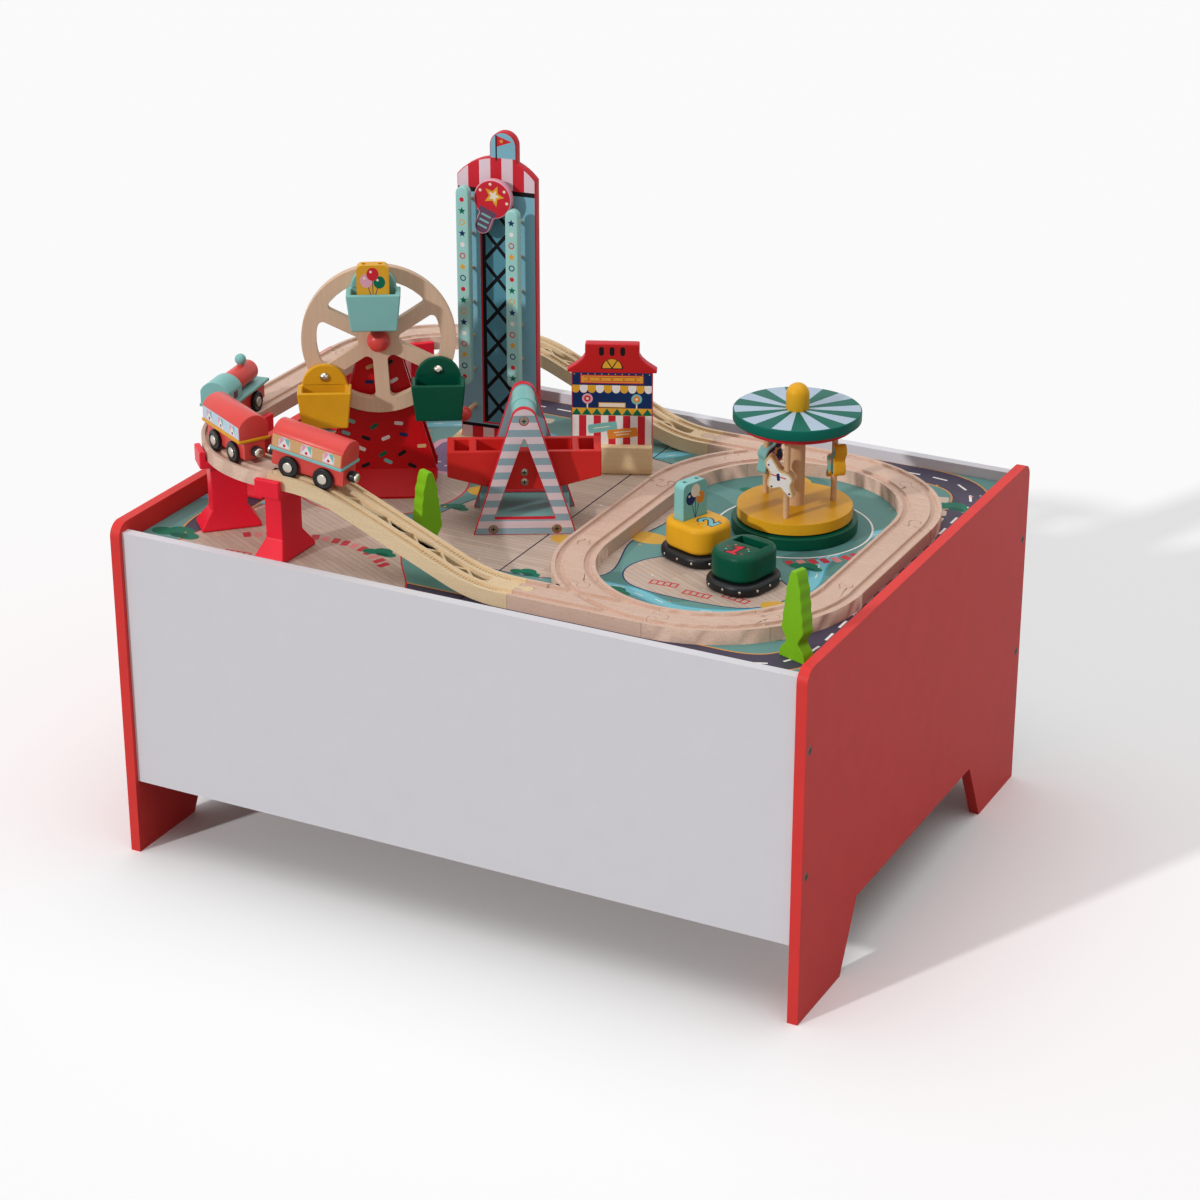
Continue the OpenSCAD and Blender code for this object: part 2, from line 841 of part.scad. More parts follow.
module track_straights() {
    color("burlywood") {
        translate([loop_x + loop_r, front_y, board_z]) straight_track(straight_l);
        translate([loop_x - loop_r, back_y, board_z]) rotate(180) straight_track(straight_l);
        translate([bridge_x - bridge_r, bridge_back, bridge_z]) rotate(180) straight_track(bridge_l);
    }
}

// Height of a ramp's underside, from its high end at x = 0 to its low end
function bend_drop(s) = ramp_bend_r - sqrt(pow(ramp_bend_r, 2) - pow(s, 2));
function ramp_z(x) =
    let (s = min(max(x - ramp_flat, 0), ramp_run))
    s < bend_run ? bridge_rise - bend_drop(s)
    : s > ramp_run - bend_run ? bend_drop(ramp_run - s)
    : bridge_rise - bend_drop(bend_run) - (s - bend_run) * tan(ramp_slope);

// The ramp's side outline between two heights above its underside
module ramp_layer(low, high, w) {
    xs = [for (i = [0 : ramp_steps]) ramp_l * i / ramp_steps];
    under = [for (x = xs) [x, ramp_z(x) + low]];
    over = [for (i = [ramp_steps : -1 : 0]) [xs[i], ramp_z(xs[i]) + high]];
    rotate([90, 0, 0]) linear_extrude(w, center = true) polygon(concat(under, over));
}

module ramp_lattice() {
    pitch = (ramp_l - 2 * lattice_end) / lattice_n;
    lean = atan(pitch / lattice_w);
    for (i = [0 : lattice_n - 1]) {
        x = lattice_end + (i + 0.5) * pitch;
        slope = atan((ramp_z(x - 1) - ramp_z(x + 1)) / 2);
        translate([x, 0, ramp_z(x) + track_h / 2]) rotate([0, slope, 0])
            rotate(i % 2 == 0 ? lean : -lean)
                cube([lattice_bar, (lattice_w + cut) / cos(lean), track_h / 2], center = true);
    }
}

module ramp_body() {
    difference() {
        ramp_layer(0, track_h, track_w);
        for (s = [-1, 1])
            translate([0, s * groove_gauge / 2, 0]) ramp_layer(track_h - groove_d, track_h + cut, groove_w);
        translate([lattice_end, -lattice_w / 2, -cut])
            cube([ramp_l - 2 * lattice_end, lattice_w, bridge_rise + track_h + 2 * cut]);
    }
    ramp_lattice();
}

module front_ramp() {
    difference() {
        union() {
            ramp_body();
            translate([ramp_l, 0, 0]) rotate(-90) peg();
        }
        translate([0, 0, bridge_rise]) rotate(-90) socket();
    }
}

module back_ramp() {
    difference() {
        union() {
            ramp_body();
            translate([0, 0, bridge_rise]) rotate(90) peg();
        }
        translate([ramp_l, 0, 0]) rotate(90) socket();
    }
}

module ramp_tracks() {
    color("wheat") {
        translate([bridge_x, front_line, board_z]) front_ramp();
        translate([bridge_x, back_line, board_z]) back_ramp();
    }
}

module pier() {
    saddle_d = track_w + 2 * pier_play + 2 * pier_lug_t;
    hull() {
        centred([pier_foot_w, pier_foot_d, pier_foot_t]);
        centred([column_w, column_d, eps], pier_flare_h);
    }
    centred([column_w, column_d, bridge_rise - saddle_t / 2]);
    centred([pier_w, saddle_d, saddle_t], bridge_rise - saddle_t);
    for (s = [-1, 1])
        translate([0, s * (saddle_d - pier_lug_t) / 2, 0])
            centred([pier_w, pier_lug_t, saddle_t + pier_lug_h], bridge_rise - saddle_t);
}

module bridge_piers() {
    saddle_shift = pier_w / 2 - ramp_flat + cut;
    color("crimson") translate([0, 0, board_z]) {
        for (s = [-1, 1]) {
            centre_y = loop_y + s * bridge_l / 2;
            translate([bridge_x - saddle_shift, loop_y + s * line_half, 0]) pier();
            translate([bridge_x, centre_y, 0]) rotate(180 - s * curve_step)
                translate([bridge_r, 0, 0]) rotate(90) pier();
            translate([bridge_x - bridge_r, centre_y, 0]) rotate(90) pier();
        }
    }
}

// Ferris wheel
module at_ferris() {
    translate([ferris_x, ferris_y, board_z]) rotate(ferris_yaw) children();
}

module stand_plate() {
    plate_l = stand_rise / cos(stand_lean);
    translate([0, -stand_half_d, flare_h]) rotate([-stand_lean, 0, 0])
        upright(stand_t) polygon([
            [-stand_foot_w / 2, 0], [stand_foot_w / 2, 0],
            [stand_top_w / 2, plate_l], [-stand_top_w / 2, plate_l]
        ]);
    hull() {
        translate([0, -stand_half_d - stand_t / 2, 0]) centred([stand_foot_w, stand_t, eps], flare_h + stand_t);
        translate([0, -stand_half_d - stand_t / 2, 0]) centred([stand_foot_w, stand_t, eps], flare_h - stand_t);
        translate([0, -stand_reach + stand_t, 0]) centred([stand_foot_w - 4 * stand_t, 2 * stand_t, stand_t / 2]);
    }
}

module ferris_stand() {
    color("crimson") at_ferris() difference() {
        union() {
            stand_plate();
            mirror([0, 1, 0]) stand_plate();
            translate([0, wheel_back - wheel_gap, hub_z])
                rotate([90, 0, 0]) cylinder(r = boss_r, h = 2 * (wheel_back - wheel_gap));
        }
        translate([0, wheel_back, hub_z]) rotate([90, 0, 0])
            cylinder(r = ferris_axle_r + axle_play, h = 2 * wheel_back);
    }
}

module ferris_axle() {
    color("tomato") at_ferris() translate([0, 0, hub_z]) {
        translate([0, wheel_back - wheel_gap, 0]) rotate([90, 0, 0])
            cylinder(r = ferris_axle_r, h = wheel_back + wheel_front);
        difference() {
            translate([0, -wheel_front - knob_r / 4, 0]) sphere(knob_r);
            translate([-knob_r, -wheel_front - wheel_gap, -knob_r]) cube(2 * knob_r);
        }
    }
}

module wheel_windows() {
    offset(r = window_r) offset(delta = -window_r) difference() {
        circle(wheel_r - rim_w);
        circle(wheel_hub_r);
        for (i = [0 : spoke_n / 2 - 1]) rotate(i * 360 / spoke_n)
            square([2 * wheel_r, spoke_w], center = true);
    }
}

module at_gondola_pins() {
    for (a = gondola_turns) rotate([0, -a - wheel_phase, 0]) translate([pin_circle_r, 0, 0]) children();
}

module ferris_wheel() {
    color("burlywood") at_ferris() translate([0, -wheel_back, hub_z]) difference() {
        upright(wheel_t) difference() {
            circle(wheel_r);
            rotate(wheel_phase) wheel_windows();
        }
        translate([0, cut, 0]) rotate([90, 0, 0])
            cylinder(r = ferris_axle_r + axle_play, h = wheel_t + 2 * cut);
        at_gondola_pins() translate([0, cut, 0]) rotate([90, 0, 0])
            cylinder(r = pin_r + axle_play, h = wheel_t + 2 * cut);
    }
}

module gondola_pins() {
    head_y = gondola_front - wheel_gap;
    color("silver") at_ferris() translate([0, 0, hub_z]) at_gondola_pins() {
        translate([0, -wheel_back, 0]) rotate([90, 0, 0]) cylinder(r = pin_r, h = -head_y - wheel_back + eps);
        translate([0, head_y, 0]) rotate([90, 0, 0]) cylinder(r1 = pin_head_r, r2 = pin_head_r / 2, h = pin_head_h);
    }
}

// Puts a shape at the pin of one gondola, upright
module at_gondola(i) {
    a = wheel_phase + gondola_turns[i];
    at_ferris() translate([pin_circle_r * cos(a), gondola_y, hub_z + pin_circle_r * sin(a)]) children();
}

module tray_outline(inset) {
    polygon([
        [-tray_floor_w / 2 + inset, -tray_rim_drop - tray_h + inset],
        [tray_floor_w / 2 - inset, -tray_rim_drop - tray_h + inset],
        [tray_top_w / 2 - inset, -tray_rim_drop + inset],
        [-tray_top_w / 2 + inset, -tray_rim_drop + inset]
    ]);
}

module gondola() {
    difference() {
        union() {
            upright(gondola_back_t) {
                translate([0, gondola_top - gondola_disc_r]) circle(gondola_disc_r);
                tray_outline(0);
            }
            upright(gondola_back_t + tray_in_d + gondola_wall) tray_outline(0);
        }
        translate([0, -gondola_back_t, 0]) upright(tray_in_d) tray_outline(gondola_wall);
        translate([0, cut, 0]) rotate([90, 0, 0])
            cylinder(r = pin_r + axle_play, h = gondola_back_t + 2 * cut);
    }
}

module gondola_teal() {
    color("mediumaquamarine") at_gondola(0) gondola();
}

module gondola_yellow() {
    color("goldenrod") at_gondola(1) gondola();
}

module gondola_green() {
    color("darkgreen") at_gondola(2) gondola();
}

// A rider block that stands on z = 0, with its middle plane at y = 0
module rider() {
    difference() {
        translate([0, rider_t / 2, 0]) upright(rider_t) {
            translate([-rider_w / 2, 0]) square([rider_w, rider_h - rider_r]);
            translate([-rider_w / 2 + rider_r, 0]) square([rider_w - 2 * rider_r, rider_h]);
            for (s = [-1, 1]) translate([s * (rider_w / 2 - rider_r), rider_h - rider_r]) circle(rider_r);
        }
        for (s = [-1, 1])
            translate([s * rider_w / 4, 0, rider_h - rider_hole_d]) cylinder(r = rider_hole_r, h = rider_hole_d + cut);
    }
}

module gondola_rider() {
    seat_y = -gondola_back_t - tray_in_d + rider_t / 2 + seat_gap;
    color("gold") at_gondola(0)
        translate([0, seat_y, -tray_rim_drop - tray_h + gondola_wall + seat_gap]) rider();
}

// Drop tower
module at_tower() {
    translate([tower_x, tower_y, board_z]) rotate(tower_yaw) children();
}

module tower_outline() {
    translate([-tower_w / 2, panel_floor]) square([tower_w, shoulder_z - panel_floor]);
    intersection() {
        translate([0, shoulder_z + crown_h - crown_r]) circle(crown_r);
        translate([-tower_w / 2, shoulder_z - cut]) square([tower_w, crown_h + 2 * cut]);
    }
    translate([tab_shift - tab_w / 2, shoulder_z]) square([tab_w, tab_z - tab_w / 2 - shoulder_z]);
    translate([tab_shift, tab_z - tab_w / 2]) circle(tab_w / 2);
}

// Heights of the pegs of one rail, below its top
function rail_pegs(low, top) =
    [for (z = [top - rail_peg_pitch / 2 : -rail_peg_pitch : low + rail_w / 2]) z];

module at_rail_pegs() {
    for (z = rail_pegs(left_rail_z, left_rail_top)) translate([-rail_gauge / 2, 0, z]) children();
    for (z = rail_pegs(right_rail_z, right_rail_top)) translate([rail_gauge / 2, 0, z]) children();
}

module at_balls() {
    for (s = [-1, 1]) translate([s * rail_gauge / 2, 0, ball_z]) children();
}

module tower_panel() {
    color("steelblue") at_tower() difference() {
        translate([0, tower_t, 0]) upright(tower_t) tower_outline();
        at_rail_pegs() translate([0, rail_peg_seat, 0]) rotate([90, 0, 0])
            cylinder(r = rail_peg_r + slot_play, h = rail_peg_seat + cut);
        at_balls() translate([0, rail_peg_seat, 0]) rotate([90, 0, 0])
            cylinder(r = ball_dowel_r + slot_play, h = rail_peg_seat + cut);
    }
}

module rail(low, top) {
    r = rail_w / 2;
    translate([0, rail_back, 0]) upright(rail_t) {
        translate([-r, low + r]) square([rail_w, top - low - rail_w]);
        for (z = [low + r, top - r]) translate([0, z]) circle(r);
    }
}

module tower_rails() {
    color("mediumaquamarine") at_tower() {
        translate([-rail_gauge / 2, 0, 0]) rail(left_rail_z, left_rail_top);
        translate([rail_gauge / 2, 0, 0]) rail(right_rail_z, right_rail_top);
        at_rail_pegs() translate([0, rail_peg_seat, 0]) rotate([90, 0, 0])
            cylinder(r = rail_peg_r, h = rail_peg_seat + rail_stand_off + cut);
    }
}

module tower_knobs() {
    color("crimson") at_tower() at_balls() {
        translate([0, rail_peg_seat, 0]) rotate([90, 0, 0])
            cylinder(r = ball_dowel_r, h = rail_peg_seat + ball_reach);
        translate([0, -ball_reach, 0]) sphere(ball_r);
    }
}

module tower_tumbler() {
    tail_r = tumbler_tail_w / 2;
    color("firebrick") at_tower() translate([0, tumbler_y, tumbler_z])
        rotate([0, -tumbler_tilt, 0]) upright(tumbler_t) {
            translate([0, tumbler_wing_r / 3]) circle(tumbler_wing_r);
            translate([-tail_r, -tumbler_tail + tail_r]) square([tumbler_tail_w, tumbler_tail]);
            translate([0, -tumbler_tail + tail_r]) circle(tail_r);
        }
}

module stand_blocks() {
    slot_d = tower_t + 2 * slot_play;
    chamfer_d = booth_chamfer / 2;
    half_d = booth_block_d / 2;
    color("burlywood") {
        at_tower() translate([0, tower_t / 2, 0]) difference() {
            centred([tower_block_w, tower_block_d, tower_block_h]);
            centred([tower_w + 2 * slot_play, slot_d, tower_block_h], panel_floor);
        }
        at_booth() translate([0, booth_t / 2, 0]) difference() {
            translate([-booth_w / 2 + slot_play, 0, 0]) rotate([90, 0, 90])
                linear_extrude(booth_w - 2 * slot_play) polygon([
                    [-half_d + chamfer_d, 0], [half_d, 0], [half_d, booth_block_h],
                    [-half_d, booth_block_h], [-half_d, booth_chamfer]
                ]);
            centred([booth_w + cut, booth_t + 2 * slot_play, booth_block_h], booth_block_h / 2);
        }
    }
}

// Swing ship
module at_ship() {
    translate([ship_x, ship_y, board_z]) rotate(ship_yaw) children();
}

module at_frame_screws() {
    for (s = [-1, 1]) {
        face = s * frame_depth / 2;
        translate([0, face, ship_axle_z]) rotate([-s * 90, 0, 0]) children();
        for (x = [-ship_screw_x, ship_screw_x])
            translate([x, face, ship_screw_z]) rotate([-s * 90, 0, 0]) children();
    }
}

module frame_outline() {
    // Points where the straight legs run into the round top
    top_z = frame_h - frame_top_r;
    leg = atan(2 * top_z / frame_w);
    side = leg - asin(frame_top_r / norm([frame_w / 2, top_z]));
    touch = [frame_top_r * sin(side), top_z + frame_top_r * cos(side)];
    difference() {
        union() {
            polygon([[-frame_w / 2, 0], [frame_w / 2, 0], touch, [-touch.x, touch.y]]);
            translate([0, top_z]) circle(frame_top_r);
        }
        polygon([[-window_w / 2, frame_bar_h], [window_w / 2, frame_bar_h], [0, window_top]]);
    }
}

module ship_frames() {
    color("lightsteelblue") at_ship() difference() {
        for (s = [-1, 1])
            translate([0, s > 0 ? frame_depth / 2 : -frame_inner, 0]) upright(frame_t) frame_outline();
        at_frame_screws() screw_hole();
    }
}

module ship_base() {
    base_w = frame_w * (1 - ship_base_t / frame_h);
    color("mediumaquamarine") at_ship() difference() {
        centred([base_w, 2 * frame_inner, ship_base_t]);
        at_frame_screws() screw_hole();
    }
}

module ship_axle() {
    color("tan") at_ship() difference() {
        translate([0, frame_inner, ship_axle_z]) rotate([90, 0, 0])
            cylinder(r = ship_axle_r, h = 2 * frame_inner);
        at_frame_screws() screw_hole();
    }
}

module ship_hanger() {
    r = hanger_w / 2;
    boss = r - 1;
    reach = frame_inner - wheel_gap;
    color("mediumaquamarine") at_ship() difference() {
        union() {
            translate([0, hanger_t / 2, 0]) upright(hanger_t) {
                translate([0, ship_axle_z]) circle(r);
                translate([-r, hanger_floor]) square([hanger_w, ship_axle_z - hanger_floor]);
            }
            translate([0, reach, ship_axle_z]) rotate([90, 0, 0]) cylinder(r = boss, h = 2 * reach);
        }
        translate([0, frame_inner, ship_axle_z]) rotate([90, 0, 0])
            cylinder(r = ship_axle_r + axle_play, h = 2 * frame_inner);
    }
}

module ship_hull() {
    half = hull_l / 2;
    seat_w = hull_d - 2 * hull_wall;
    mid_x = half - 2 * seat_rib - end_seat_l - mid_seat_l / 2;
    color("firebrick") at_ship() difference() {
        translate([0, hull_d / 2, 0]) upright(hull_d) polygon([
            [-half, hull_rim_z], [-half, hull_rim_z - hull_end_h],
            [-hull_keel_l / 2, hull_rim_z - hull_mid_h], [hull_keel_l / 2, hull_rim_z - hull_mid_h],
            [half, hull_rim_z - hull_end_h], [half, hull_rim_z]
        ]);
        for (s = [-1, 1]) {
            translate([s * (half - seat_rib - end_seat_l / 2), 0, 0])
                centred([end_seat_l, seat_w, seat_d + cut], hull_rim_z - seat_d);
            translate([s * mid_x, 0, 0]) centred([mid_seat_l, seat_w, seat_d + cut], hull_rim_z - seat_d);
        }
        centred([hanger_w + 2 * slot_play, hanger_t + 2 * slot_play, hull_mid_h], hanger_floor);
    }
}

// Ticket booth
module at_booth() {
    translate([booth_x, booth_y, board_z]) rotate(booth_yaw) children();
}

module booth_panel() {
    foot_z = booth_block_h / 2;
    color("brown") at_booth() translate([0, booth_t, 0]) upright(booth_t) {
        translate([-booth_w / 2, foot_z]) square([booth_w, eaves_z - foot_z]);
        polygon([
            [-eaves_w / 2, eaves_z - eaves_edge], [eaves_w / 2, eaves_z - eaves_edge], [eaves_w / 2, eaves_z],
            [roof_block_w / 2, roof_block_z], [roof_block_w / 2, booth_z], [-roof_block_w / 2, booth_z],
            [-roof_block_w / 2, roof_block_z], [-eaves_w / 2, eaves_z]
        ]);
    }
}

// Carousel
module at_carousel() {
    translate([carousel_x, carousel_y, board_z]) children();
}

module at_poles() {
    for (i = [0 : 2]) rotate(pole_phase + i * 120) translate([pole_circle_r, 0, 0]) children();
}

module carousel_base() {
    color("seagreen") at_carousel() difference() {
        cylinder(r = carousel_base_r, h = carousel_base_h);
        translate([0, 0, carousel_base_h - spigot_d - axle_play])
            cylinder(r = spigot_r + axle_play, h = spigot_d + cut);
    }
}

module carousel_turntable() {
    boss_z = carousel_base_h + turntable_play;
    color("goldenrod") at_carousel() difference() {
        union() {
            translate([0, 0, turntable_z]) cylinder(r = turntable_r, h = turntable_t);
            translate([0, 0, boss_z]) cylinder(r = turntable_boss_r, h = turntable_z - boss_z + eps);
        }
        cylinder(r = spigot_r + slot_play, h = deck_z + cut);
        at_poles() translate([0, 0, deck_z - pole_seat]) cylinder(r = pole_r + slot_play, h = pole_seat + cut);
    }
}

module carousel_column() {
    spigot_z = carousel_base_h - spigot_d;
    color("burlywood") at_carousel() {
        translate([0, 0, spigot_z]) cylinder(r = spigot_r, h = canopy_z - spigot_z + cut);
        translate([0, 0, deck_z]) cylinder(r = column_r, h = under_disc_z - deck_z);
        translate([0, 0, canopy_z]) cylinder(r = finial_r, h = finial_h - finial_r / 2);
        translate([0, 0, canopy_z + finial_h - finial_r]) intersection() {
            sphere(finial_r);
            cylinder(r = finial_r, h = finial_r);
        }
    }
}

module carousel_poles() {
    color("burlywood") at_carousel() at_poles()
        translate([0, 0, deck_z - pole_seat])
            cylinder(r = pole_r, h = under_disc_z - deck_z + 2 * pole_seat);
}

// A closed smooth line through the points, with n steps from each one to the next
function smooth_ring(p, n) = [
    for (i = [0 : len(p) - 1], j = [0 : n - 1])
        let (k = len(p), a = p[(i + k - 1) % k], b = p[i], c = p[(i + 1) % k], d = p[(i + 2) % k], t = j / n)
            b + (c - a) * t / 2 + (2 * a - 5 * b + 4 * c - d) * t * t / 2 + (3 * b - a - 3 * c + d) * t * t * t / 2
];

// A leaping animal seen from the side, its pole at the origin
module animal_outline() {
    shares = [
        [-0.62, 0.7], [-0.72, 0.54], [-0.72, 0.39], [-0.62, 0.24], [-0.54, 0.09], [-0.6, -0.04], [-0.64, -0.26],
        [-0.57, -0.41], [-0.4, -0.44], [-0.2, -0.39], [-0.07, -0.52], [0.17, -0.71], [0.28, -0.65], [0.2, -0.34],
        [0.2, -0.22], [0.26, -0.06], [0.16, 0.11], [0.02, 0.2], [-0.19, 0.28], [-0.35, 0.52], [-0.48, 0.7]
    ];
    polygon(animal_l * smooth_ring(shares, 4));
}

module carousel_animals() {
    color("wheat") at_carousel() at_poles() translate([0, 0, deck_z + animal_z]) difference() {
        rotate(90) translate([0, animal_t / 2, 0]) upright(animal_t) animal_outline();
        cylinder(r = pole_r + slot_play, h = 2 * animal_l, center = true);
    }
}

module carousel_canopy() {
    color("seagreen") at_carousel() difference() {
        union() {
            translate([0, 0, canopy_z - canopy_t]) cylinder(r = canopy_r, h = canopy_t);
            translate([0, 0, under_disc_z]) cylinder(r = under_disc_r, h = under_disc_t + eps);
        }
        cylinder(r = spigot_r + slot_play, h = canopy_z + cut);
        at_poles() translate([0, 0, under_disc_z - cut]) cylinder(r = pole_r + slot_play, h = pole_seat + cut);
    }
}

// Bumper cars
module at_yellow_car() {
    translate([yellow_car_x, yellow_car_y, board_z]) rotate(yellow_car_yaw) children();
}

module at_green_car() {
    translate([green_car_x, green_car_y, board_z]) rotate(green_car_yaw) children();
}

module car_body() {
    difference() {
        translate([0, 0, bumper_h]) linear_extrude(car_h) rounded_square(car_l, car_w, car_r);
        translate([-slot_back, 0, 0])
            centred([rider_t + 2 * slot_gap, rider_w + 2 * slot_gap, slot_d + cut], bumper_h + car_h - slot_d);
    }
}

module car_bumper() {
    linear_extrude(bumper_h)
        rounded_square(car_l + 2 * bumper_out, car_w + 2 * bumper_out, car_r + bumper_out);
}

module yellow_car_body() {
    color("goldenrod") at_yellow_car() car_body();
}

module yellow_car_bumper() {
    color("darkslategray") at_yellow_car() car_bumper();
}

module green_car_body() {
    color("darkgreen") at_green_car() car_body();
}

module green_car_bumper() {
    color("darkslategray") at_green_car() car_bumper();
}

module car_rider() {
    color("mediumaquamarine") at_yellow_car()
        translate([-slot_back, 0, bumper_h + car_h - slot_d + seat_gap]) rotate(90) rider();
}

// Trees: each is its place on the board and its turn
tree_places = [[-68, front_line + tree_line_gap, 67], [inner_l / 2 - tree_end_gap, tree_side_gap - side_y, -20]];

// Half the width of a tree at a share of its height
function tree_half(f) = lookup(f, [
    [0, tree_foot], [0.06, tree_foot * 0.97], [0.11, tree_foot * 0.86], [0.16, tree_foot * 0.6],
    [0.19, tree_half_w * 0.54], [0.22, tree_half_w * 0.58], [0.27, tree_half_w * 0.82], [0.32, tree_half_w * 0.97],
    [0.37, tree_half_w], [0.47, tree_half_w * 0.91], [0.6, tree_half_w * 0.79], [0.74, tree_half_w * 0.67],
    [0.83, tree_half_w * 0.58], [0.91, tree_half_w * 0.43], [0.97, tree_half_w * 0.3], [1, tree_half_w * 0.18]
]) + (f > 0.24 && f < 0.92 ? tree_wave * sin(f * 2400) : 0);

module tree() {
    steps = 44;
    side = [for (i = [0 : steps]) [tree_half(i / steps), tree_h * i / steps]];
    other = [for (i = [steps : -1 : 0]) [-side[i].x, side[i].y]];
    translate([0, tree_t / 2, 0]) upright(tree_t) polygon(concat(side, other));
}

module trees() {
    color("yellowgreen") for (p = tree_places)
        translate([p.x, p.y, board_z]) rotate(p.z) tree();
}

// Train: each vehicle stands on z = 0, the top of the track, and heads along +X
module on_curve(turn, base) {
    reach = sqrt(pow(bridge_r, 2) - pow(base / 2, 2));
    translate([bridge_x, bridge_front, bridge_top]) rotate(turn) translate([reach, 0, 0]) rotate(-90) children();
}

module at_engine() {
    on_curve(engine_turn, engine_base) children();
}

module at_coach1() {
    on_curve(coach_turn, coach_base) children();
}

module at_coach2() {
    rise = sqrt(pow(ramp_bend_r + axle_z, 2) - pow(coach_base / 2, 2)) - axle_z;
    translate([bridge_x + ramp_flat, front_line, bridge_top - ramp_bend_r])
        rotate([0, ramp_turn, 0]) translate([0, 0, rise]) rotate(180) children();
}

module axle_bores(base) {
    for (s = [-1, 1]) translate([s * base / 2, chassis_w, axle_z]) rotate([90, 0, 0])
        cylinder(r = train_axle_r + axle_play, h = 2 * chassis_w);
}

module coupler_seat_hole(s, l) {
    translate([s * (l / 2 - coupler_seat), 0, coupler_z()]) rotate([0, s * 90, 0])
        cylinder(r = coupler_r + slot_play, h = coupler_seat + cut);
}

function coupler_z() = chassis_lift + chassis_h / 2;

module coupler(s, l) {
    translate([s * (l / 2 - coupler_seat), 0, coupler_z()]) rotate([0, s * 90, 0])
        cylinder(r = coupler_r, h = coupler_seat + coupler_l);
}

module wheelset(s, base) {
    outer = groove_gauge / 2 + rail_wheel_w / 2;
    translate([s * base / 2, 0, axle_z]) rotate([90, 0, 0]) {
        cylinder(r = train_axle_r, h = 2 * outer, center = true);
        for (side = [-1, 1]) {
            translate([0, 0, side * groove_gauge / 2]) cylinder(r = rail_wheel_r, h = rail_wheel_w, center = true);
            translate([0, 0, side * (outer + wheel_hub_h / 2 - eps)])
                cylinder(r = wheel_hub, h = wheel_hub_h, center = true);
        }
    }
}

// The low body of a vehicle, with bores for its axles and seats for its couplers
module chassis(l, base, ends) {
    difference() {
        centred([l, chassis_w, chassis_h], chassis_lift);
        axle_bores(base);
        for (s = ends) coupler_seat_hole(s, l);
    }
}

module arched_outline() {
    translate([-cabin_w / 2, 0]) square([cabin_w, cabin_wall]);
    intersection() {
        translate([0, cabin_wall + roof_rise - roof_r]) circle(roof_r);
        translate([-cabin_w / 2, cabin_wall - eps]) square([cabin_w, roof_rise + cut]);
    }
}

module arched_block(l) {
    translate([-l / 2, 0, 0]) rotate([90, 0, 90]) linear_extrude(l) arched_outline();
}

module coach_chassis() {
    chassis(coach_l, coach_base, [-1, 1]);
    centred([coach_l + 1, trim_w, trim_t], trim_z);
}

module coach_cabin() {
    translate([0, 0, cabin_z]) arched_block(coach_l);
}

module coach_couplers() {
    for (s = [-1, 1]) coupler(s, coach_l);
}

module engine_chassis() {
    color("indianred") at_engine() chassis(engine_l, engine_base, [-1]);
}

module engine_cab() {
    color("mediumaquamarine") at_engine() {
        centred([engine_l + 1, trim_w, trim_t], trim_z);
        translate([-(engine_l - cab_l) / 2, 0, cabin_z - eps]) arched_block(cab_l);
    }
}

module engine_boiler() {
    boiler_x = -engine_l / 2 + cab_l;
    boiler_z = cabin_z + boiler_r;
    funnel_x = boiler_x + boiler_l * 0.62;
    color("indianred") at_engine() {
        translate([boiler_x, 0, boiler_z]) rotate([0, 90, 0]) cylinder(r = boiler_r, h = boiler_l);
        translate([funnel_x, 0, boiler_z]) cylinder(r = funnel_stem_r, h = boiler_r + funnel_r);
        translate([funnel_x, 0, boiler_z + boiler_r + funnel_r]) sphere(funnel_r);
    }
}

module engine_coupler() {
    color("dimgray") at_engine() coupler(-1, engine_l);
}

module engine_front_wheels() {
    color("black") at_engine() wheelset(1, engine_base);
}

module engine_rear_wheels() {
    color("black") at_engine() wheelset(-1, engine_base);
}

module coach1_chassis() {
    color("indianred") at_coach1() coach_chassis();
}

module coach1_cabin() {
    color("lightskyblue") at_coach1() coach_cabin();
}

module coach1_couplers() {
    color("dimgray") at_coach1() coach_couplers();
}

module coach1_front_wheels() {
    color("black") at_coach1() wheelset(1, coach_base);
}

module coach1_rear_wheels() {
    color("black") at_coach1() wheelset(-1, coach_base);
}

module coach2_chassis() {
    color("indianred") at_coach2() coach_chassis();
}

module coach2_cabin() {
    color("tan") at_coach2() coach_cabin();
}

module coach2_couplers() {
    color("dimgray") at_coach2() coach_couplers();
}

module coach2_front_wheels() {
    color("black") at_coach2() wheelset(1, coach_base);
}

module coach2_rear_wheels() {
    color("black") at_coach2() wheelset(-1, coach_base);
}

front_panel();
back_panel();
left_end_panel();
right_end_panel();
play_board_left();
play_board_right();
board_cleats();
wood_screws();
track_switches();
track_curves();
track_straights();
ramp_tracks();
bridge_piers();
ferris_stand();
ferris_axle();
ferris_wheel();
gondola_pins();
gondola_teal();
gondola_yellow();
gondola_green();
gondola_rider();
tower_panel();
tower_rails();
tower_knobs();
tower_tumbler();
stand_blocks();
ship_frames();
ship_base();
ship_axle();
ship_hanger();
ship_hull();
booth_panel();
carousel_base();
carousel_turntable();
carousel_column();
carousel_poles();
carousel_animals();
carousel_canopy();
yellow_car_body();
yellow_car_bumper();
green_car_body();
green_car_bumper();
car_rider();
trees();
engine_chassis();
engine_cab();
engine_boiler();
engine_coupler();
engine_front_wheels();
engine_rear_wheels();
coach1_chassis();
coach1_cabin();
coach1_couplers();
coach1_front_wheels();
coach1_rear_wheels();
coach2_chassis();
coach2_cabin();
coach2_couplers();
coach2_front_wheels();
coach2_rear_wheels();
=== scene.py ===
import math
import random

import bpy
from mathutils import Matrix, Vector
from mathutils.geometry import delaunay_2d_cdt


